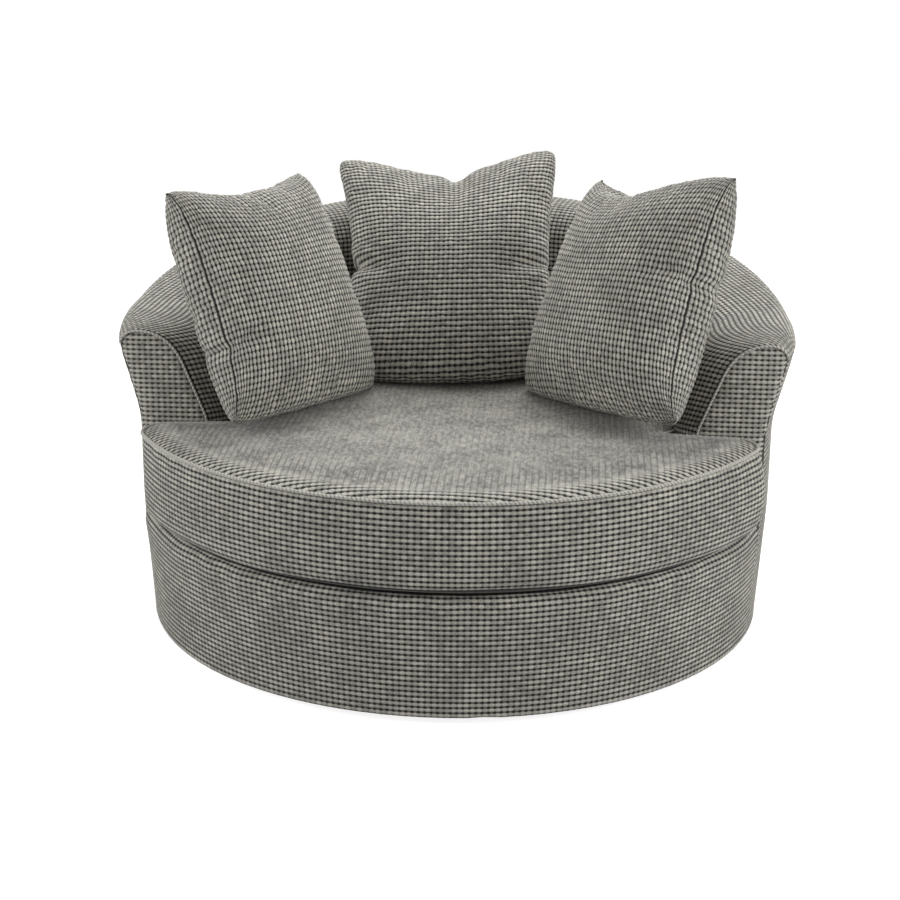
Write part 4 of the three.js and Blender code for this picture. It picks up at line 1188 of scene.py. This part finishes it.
seat_plan = seat_outline(SEAT_FRONT_RADIUS, SEAT_BACK_RADIUS, EAR_BACK, EAR_CORNER, ARM_SQUEEZE)
top_panel = cut_cloth("seat_cover_top", seat_plan, CELL, seat_top, steps=WAFFLE_STEPS,
                      start=(0.5 * CELL[0], -SEAT_FRONT_RADIUS))
top_places = get_places(top_panel)[:, :2]
from_edge = from_outline(seat_plan, top_places)[0]
# The top is marked as flattened away from its edge and behind the ears: there its relief is pressed down,
# the painted shade of its rows and pits fades out, and its columns keep painted shade as faint lines.
behind_ears = (top_places[:, 1] + EAR_BACK + FLAT_TOP_BEHIND_START) / FLAT_TOP_BEHIND_START
flat_top = np.maximum(1 - np.exp(-(from_edge / FLAT_TOP_REACH) ** 2), np.clip(behind_ears, 0, FLAT_TOP_BEHIND))
mark_points(top_panel, "flat_top", flat_top)
cover(top_panel, CUSHION_WALL)

band_columns = int(round(even_outline(seat_plan, 2000)[2] / CELL[0]))
band_steps = band_columns * len(WAFFLE_STEPS[0])
band_plan, band_out, _ = even_outline(seat_plan, band_steps)
band, across, up = new_cloth("seat_cover_band", band_columns, BAND_ROWS, *WAFFLE_STEPS)
column = np.rint(across * len(WAFFLE_STEPS[0])).astype(int) % band_steps
plan = band_plan[column]
height_share = up / BAND_ROWS
level = SEAT_BOTTOM + (SEAT_THICKNESS - edge_drop(plan)) * height_share
foot_height = FOOT_HEIGHT * (1 + FOOT_WANDER * np.sin(column * 0.083) * np.sin(column * 0.031 + 1))
tuck = np.clip(1 - (level - SEAT_BOTTOM) / foot_height, 0, 1)
ear = np.clip((np.abs(plan[:, 0]) - EAR_START) / EAR_LENGTH, 0, 1) * (plan[:, 1] < -EAR_BACK + 0.01)
swell = SEAT_BULGE + np.where(plan[:, 0] > 0, EAR_SWELL[1], EAR_SWELL[0]) * ear ** 2
puff = swell * np.sin(np.clip(height_share, 0, 1) * pi) ** 0.75
ripple = SEAT_PUCKER * np.sin(column * 0.45 + 2 * np.sin(column * 0.065))
pucker = ripple * np.clip(height_share * 4 - 3, 0, 1)
growth = puff - FOOT_DEPTH * (1 - np.sqrt(1 - tuck ** 2)) + pucker
places = np.column_stack([plan + band_out[column] * growth[:, None], level])
lay_cloth(band, places, np.stack([across, up], 1))
# Painted shade: the band's tucked foot and a thin line under the piping are marked as a seam, which sinks
# the cloth a little and paints it dark there.
under_piping = UNDER_PIPING_SHADE * np.clip((height_share - UNDER_PIPING) / 0.03, 0, 1)
mark_points(band, "seam", np.maximum(np.clip((tuck - TUCK_MARK) / 0.2, 0, 1), under_piping))
drop_faces(band, False)
cover(band, CUSHION_WALL)

inner_plan, inner_out, _ = even_outline(seat_plan, 600)
underside = cut_cloth("seat_cover_underside", inner_plan - inner_out * FOOT_DEPTH, 2 * CELL,
                      seat_underside)
turn_over(underside)
thicken(underside, CUSHION_WALL, waffle, backing)
smooth(underside)


def join_pieces(name, pieces):
    bpy.ops.object.select_all(action="DESELECT")
    for piece in pieces:
        piece.select_set(True)
    bpy.context.view_layer.objects.active = pieces[0]
    bpy.ops.object.join()
    pieces[0].name = name
    pieces[0].data.name = name
    return pieces[0]


seat_cover = join_pieces("seat_cushion_waffle_cover", [top_panel, band, underside])
place_on(seat_cover, "seat_cushion", "seat_cushion_cover")

piping_offset = PIPING_RADIUS * CORD_CORNER + 2 * FIT_GAP
cord_plan, cord_out, _ = even_outline(seat_plan, 900)
cord_path = np.column_stack([
    cord_plan + cord_out * piping_offset, SEAT_EDGE + piping_offset - edge_drop(cord_plan)])
seat_piping = covered_cord("seat_piping_cord", cord_path, PIPING_RADIUS, PIPING_RIDGE, PIPING_PITCH, True)
seat_piping.data.materials.append(piping)
place_on(seat_piping, "seat_cushion", "seat_cushion_piping")


def coil_zip(name, path):
    """A nylon coil zip along a path, with a slider at one end and its flat puller"""
    parts = [covered_cord(name, path, ZIP_RADIUS, ZIP_RIDGE, ZIP_PITCH, False, 8, 0)]
    end = Vector(path[0])
    ahead = (Vector(path[3]) - end).normalized()
    for size, shift in ((SLIDER, SLIDER_SHIFT), (PULLER, PULLER_SHIFT)):
        bpy.ops.object.select_all(action="DESELECT")
        bpy.ops.mesh.primitive_cube_add(size=1)
        block = bpy.context.active_object
        block.scale = size
        block.rotation_mode = "QUATERNION"
        block.rotation_quaternion = ahead.to_track_quat("X", "Z")
        block.location = end + ahead * shift
        bpy.ops.object.transform_apply(location=True, rotation=True, scale=True)
        edges = block.modifiers.new("edges", "BEVEL")
        edges.width = 0.0006
        edges.segments = 2
        apply_modifiers(block)
        block.data.uv_layers[0].name = "weave"
        parts.append(block)
    made = join_pieces(name, parts)
    made.data.materials.append(cage_nylon)
    return made


zip_turn = np.linspace(-0.5, 0.5, ZIP_POINTS) * SEAT_ZIP_LENGTH / SEAT_BACK_RADIUS
zip_reach = SEAT_BACK_RADIUS + SEAT_BULGE + ZIP_STANDS_OUT
zip_level = np.full(ZIP_POINTS, SEAT_BOTTOM + SEAT_THICKNESS / 2)
seat_zip = coil_zip("seat_zip_coil", np.stack([
    zip_reach * np.sin(zip_turn), zip_reach * np.cos(zip_turn), zip_level], 1))
place_on(seat_zip, "seat_cushion", "seat_cushion_zip")

# Scatter cushions: three of one pattern, a filling pad in a cover of two panels sewn together
# with a plain seam and zipped along the foot. Each stands on the seat and leans on the barrel,
# plump in the middle, with a dent chopped into its top. The outer two have the weave turned.
SCATTER_EDGE = 0.0015
PLUMP_SHARE = 0.31
EAR_THINNING = 0.55
CHOP_SPREAD = 0.60
NOTCH_SPREAD = 0.10
ROLL_SPREAD = 0.40
PINCH_SPREAD = 0.055
EDGE_ROLL = 0.030
SETTLE_HEIGHT = 0.060
SETTLE_BEND = 1.5
SEAM_CELLS = 0.65
SEAT_CROWN_LEVEL = 0.4586
SCATTER_WALL = 0.002
SCATTER_ZIP_LENGTH = 0.300
ZIP_CLEARANCE = 0.004
SCATTERS = (
    # Places on the cushion go from -1 to 1. A chop, notch or roll is a depth and its place. A
    # pinch is its side, its height, its strength, where it starts, its pull and its slant.
    {"name": "left", "seed": 3, "near_edge": -1, "turned_weave": True,
     "foot": (-0.292, -0.158), "turn": 61.5, "lean": 25, "tip": -4.0, "slump": 0.0, "bow": 0.0,
     "width": 0.440, "height": 0.472, "plump": 0.105, "taper": 0.035, "drawn": 0.070, "corner": 0.042,
     "chop": (0.022, -0.42), "notch": (0.003, -0.1), "roll": (0.018, 0.50), "ears": (-0.002, 0.012),
     "pinches": ((-1, -0.42, 0.16, 0.7, 0.007, 0.1), (1, 0.5, 0.12, 0.7, 0.003, 0.1))},
    {"name": "centre", "seed": 5, "near_edge": 0, "turned_weave": False,
     "foot": (-0.034, 0.180), "turn": -1, "lean": 38.5, "tip": 3.6, "slump": 0.130, "bow": 0.009,
     "width": 0.514, "height": 0.514, "plump": 0.100, "taper": -0.02, "drawn": 0.150, "corner": 0.085,
     "chop": (0.026, 0.06), "notch": (0.026, 0.10), "roll": (0.006, 0.0), "ears": (0.018, 0.026),
     "pinches": ((-1, -0.10, 0.62, 0.60, 0.026, -0.08), (1, -0.13, 0.52, 0.64, 0.004, -0.06))},
    {"name": "right", "seed": 8, "near_edge": 1, "turned_weave": True,
     "foot": (0.292, -0.152), "turn": -55, "lean": 23, "tip": 6.0, "slump": 0.0, "bow": 0.0,
     "width": 0.456, "height": 0.469, "plump": 0.105, "taper": 0.075, "drawn": 0.070, "corner": 0.042,
     "chop": (0.026, -0.30), "notch": (0.003, -0.15), "roll": (0.022, -0.70), "ears": (0.003, 0.024),
     "pinches": ((1, 0.12, 0.18, 0.7, 0.007, 0.1), (-1, 0.5, 0.12, 0.7, 0.003, 0.1))},
)
BACK_PANEL_SHIFT = 100
FILLING_VOXEL = 0.010
FILLING_GAP = 0.006
FRAMES = 20
MOVE_CAP = 0.012
CLOTH_SETTINGS = {
    "use_pressure": True, "uniform_pressure_force": 1.6, "quality": 6, "mass": 0.35,
    "tension_stiffness": 20, "compression_stiffness": 20, "shear_stiffness": 8,
    "bending_stiffness": 0.5, "vertex_group_mass": "held", "vertex_group_shrink": "seam",
    "shrink_min": -0.015, "shrink_max": -0.10,
}


def even_shares(half, plump, count):
    """Shares from -1 to 1 that are evenly far apart over the swell of the cushion's middle"""
    fine = np.sin(np.linspace(-pi / 2, pi / 2, 801))
    run = run_along(np.stack([half * fine, plump * (1 - fine ** 2) ** PLUMP_SHARE], 1))
    return np.interp(np.linspace(0, run[-1], count + 1), run, fine), run[-1]


def near(value, middle, spread):
    """One at the middle, and nought well away from it"""
    return np.exp(-((value - middle) / spread) ** 2)


def scatter_place(u, v, side, cushion):
    """A point of the cushion in its own frame: foot line on x, back towards +y"""
    upper = np.clip(v, 0, 1)
    up_share = (1 + v) / 2
    swell = ((1 - u * u) * (1 - v * v)) ** PLUMP_SHARE
    swell *= 1 + 0.035 * np.sin(4.1 * u + cushion["seed"]) * np.cos(3.3 * v + 2 * side)
    swell *= 1 - EAR_THINNING * np.abs(u * v) ** 5
    pull = np.zeros(len(u))
    for edge, pinch_at, strength, start, pinch_pull, slant in cushion["pinches"]:
        to_edge = np.clip((edge * u - start) / (1 - start), 0, 1)
        fold = near(v, pinch_at + slant * (1 - to_edge), PINCH_SPREAD)
        swell *= 1 - strength * fold * to_edge ** 1.2
        pull += pinch_pull * fold * to_edge ** 6
    (chop, chop_at), (notch, notch_at), (roll, roll_at) = (cushion[key] for key in ("chop", "notch", "roll"))
    dent = chop * near(u, chop_at, CHOP_SPREAD) * (1 - u * u) * up_share ** 2
    dent = dent + notch * near(u, notch_at, NOTCH_SPREAD) * upper ** 5
    roll = roll * near(u, roll_at, ROLL_SPREAD) * (1 - u ** 8)
    if side > 0:
        dent = dent + roll * upper ** 8 - 4 * roll * upper ** 6 * (1 - upper ** 6)
    else:
        dent = dent + roll * upper ** 4
    corner = 1 - cushion["corner"] * (u * v) ** 8
    depth = side * (SCATTER_EDGE * (swell > 0) + (cushion["plump"] - SCATTER_EDGE) * swell)
    to_near = np.clip(cushion["near_edge"] * u, 0, 1) ** (6 if side < 0 else 14)
    depth = depth - EDGE_ROLL * to_near * (1 - v ** 6)
    drawn = np.where(v > 0, cushion["drawn"], 0)
    level = cushion["height"] / 2 * (1 + v * corner * (1 - drawn * (1 - u * u))) - dent
    for edge, stretch in zip((-1, 1), cushion["ears"]):
        level = level + stretch * ((1 + edge * u) / 2) ** 2 * up_share ** 2
    narrow = corner * (1 - cushion["drawn"] * (1 - v * v)) * (1 - cushion["taper"] * v)
    x = (cushion["width"] / 2 - pull) * u * narrow + cushion["bow"] * (1 - v * v)
    return np.stack([x, depth, np.maximum(level, depth * tan(radians(cushion["lean"])))], 1)


def between(grid, across, up):
    """Places on a smooth surface through a grid of points, at fractions of its columns and rows"""
    def spans(mark, count):
        first = np.minimum(mark.astype(int), count - 2)
        t = mark - first
        weights = np.stack([-t + 2 * t ** 2 - t ** 3, 2 - 5 * t ** 2 + 3 * t ** 3,
                            t + 4 * t ** 2 - 3 * t ** 3, -t ** 2 + t ** 3], 1) / 2
        return np.stack([first, first + 1, first + 2, first + 3], 1), weights

    rows_on = np.concatenate([2 * grid[:1] - grid[1:2], grid, 2 * grid[-1:] - grid[-2:-1]], 0)
    on = np.concatenate([2 * rows_on[:, :1] - rows_on[:, 1:2], rows_on,
                         2 * rows_on[:, -1:] - rows_on[:, -2:-1]], 1)
    columns, column_weights = spans(across, grid.shape[0])
    rows, row_weights = spans(up, grid.shape[1])
    return sum((column_weights[:, a] * row_weights[:, b])[:, None] * on[columns[:, a], rows[:, b]]
               for a in range(4) for b in range(4))


def inflate(piece, to_edge, seed):
    """Blows a cover up a little with cloth simulation, held at its seam, so that it puckers there"""
    rng = np.random.default_rng(seed)
    before = get_places(piece)
    set_places(piece, before + rng.normal(0, 0.0004, before.shape))
    seam = piece.vertex_groups.new(name="seam")
    held = piece.vertex_groups.new(name="held")
    for index, share in enumerate(to_edge):
        seam.add([index], float(share ** 5), "REPLACE")
        held.add([index], float(0.6 * share ** 14), "REPLACE")
    cloth = piece.modifiers.new("cloth", "CLOTH")
    for name, value in CLOTH_SETTINGS.items():
        setattr(cloth.settings, name, value)
    cloth.settings.effector_weights.gravity = 0
    cloth.collision_settings.use_collision = False
    for number in range(1, FRAMES + 1):
        bpy.context.scene.frame_set(number)
    apply_modifiers(piece)
    move = get_places(piece) - before
    far = np.linalg.norm(move, axis=1, keepdims=True)
    set_places(piece, before + move * np.minimum(1, MOVE_CAP / np.maximum(far, 1e-9)))
    bpy.context.scene.frame_set(1)


for cushion in SCATTERS:
    label = cushion["name"]
    body = f"scatter_{label}"
    turned_weave = cushion["turned_weave"]
    cell = CELL[::-1] if turned_weave else CELL
    steps = WAFFLE_STEPS[::-1] if turned_weave else WAFFLE_STEPS
    half_width = cushion["width"] / 2
    half_height = cushion["height"] / 2
    columns = int(round(even_shares(half_width, cushion["plump"], 10)[1] / cell[0]))
    rows = int(round(even_shares(half_height, cushion["plump"], 10)[1] / cell[1]))
    u_at = even_shares(half_width, cushion["plump"], columns)[0]
    v_at = even_shares(half_height, cushion["plump"], rows)[0]
    panels = []
    for side in (-1, 1):
        panel, across, up = new_cloth(f"scatter_panel_{label}_{side}", columns, rows)
        places = scatter_place(u_at[across.astype(int)], v_at[up.astype(int)], side, cushion)
        lay_cloth(panel, places, np.stack([across + (side > 0) * BACK_PANEL_SHIFT, up], 1))
        if side > 0:
            turn_over(panel)
        panels.append(panel)
    coarse = join_pieces(f"scatter_filling_{label}", panels)
    drop_faces(coarse, False)
    start = get_places(coarse)
    corners = corner_points(coarse)
    marks = np.rint(read_all(coarse.data.uv_layers["weave"].data, "uv", 2)).astype(int)
    on_back = marks[:, 0] >= BACK_PANEL_SHIFT
    marks[:, 0] -= on_back * BACK_PANEL_SHIFT
    at = np.zeros((len(start), 2))
    at[corners] = np.stack([u_at[marks[:, 0]], v_at[marks[:, 1]]], 1)
    inflate(coarse, np.abs(at).max(1), cushion["seed"])
    turned = (Matrix.Rotation(radians(cushion["turn"]), 4, "Z")
              @ Matrix.Rotation(-radians(cushion["lean"]), 4, "X")
              @ Matrix.Rotation(-radians(cushion["tip"]), 4, "Y"))
    standing = np.array(turned.to_3x3())
    drop = SEAT_CROWN_LEVEL - (start @ standing.T)[:, 2].min()
    placed = get_places(coarse) @ standing.T + np.array([*cushion["foot"], drop])
    placed[:, 1] -= cushion["slump"] * ((1 - at[:, 1]) / 2) ** 2 * np.sqrt(1 - at[:, 0] ** 2)
    height_share = np.clip((placed[:, 2] - SEAT_CROWN_LEVEL) / SETTLE_HEIGHT, 0, 1)
    placed[:, 2] += SETTLE_HEIGHT * (height_share ** SETTLE_BEND - height_share)
    placed[:, 2] = np.maximum(placed[:, 2], SEAT_CROWN_LEVEL + ROW_DEPTH / 2)
    set_places(coarse, placed)
    panels = []
    for side in (-1, 1):
        mine = on_back == (side > 0)
        grid = np.empty((columns + 1, rows + 1, 3))
        grid[marks[mine, 0], marks[mine, 1]] = placed[corners[mine]]
        panel, across, up = new_cloth(f"scatter_fine_{label}_{side}", columns, rows, *steps)
        counts = np.stack([across + (side > 0) * BACK_PANEL_SHIFT, up], 1)
        lay_cloth(panel, between(grid, across, up), counts[:, ::-1] if turned_weave else counts)
        from_seam = np.min([across, columns - across, up, rows - up], 0)
        # The seam is marked, which sinks the cloth there and paints shade along it with a faint highlight
        # beside it.
        mark_points(panel, "seam", np.clip(1 - from_seam / SEAM_CELLS, 0, 1))
        if side > 0:
            turn_over(panel)
        panels.append(panel)
    zip_half = SCATTER_ZIP_LENGTH / cell[0] / 2
    zip_across = np.linspace(columns / 2 - zip_half, columns / 2 + zip_half, ZIP_POINTS)
    zip_line = between(grid, zip_across, np.full(ZIP_POINTS, 1.0)) + standing @ np.array([0, ZIP_RADIUS, 0])
    zip_line[:, 2] = np.maximum(zip_line[:, 2], SEAT_CROWN_LEVEL + ZIP_CLEARANCE)
    scatter_zip = coil_zip(f"scatter_zip_coil_{label}", zip_line)
    place_on(scatter_zip, body, f"scatter_zip_{label}")
    coarse.data.materials.append(foam)
    rounded(coarse, FILLING_VOXEL, FILLING_GAP)
    place_on(coarse, body, f"scatter_pad_{label}")
    scatter_cover = join_pieces(f"scatter_waffle_cover_{label}", panels)
    drop_faces(scatter_cover, False)
    cover(scatter_cover, SCATTER_WALL, open_waffle if turned_weave else waffle)
    place_on(scatter_cover, body, f"scatter_cover_{label}")
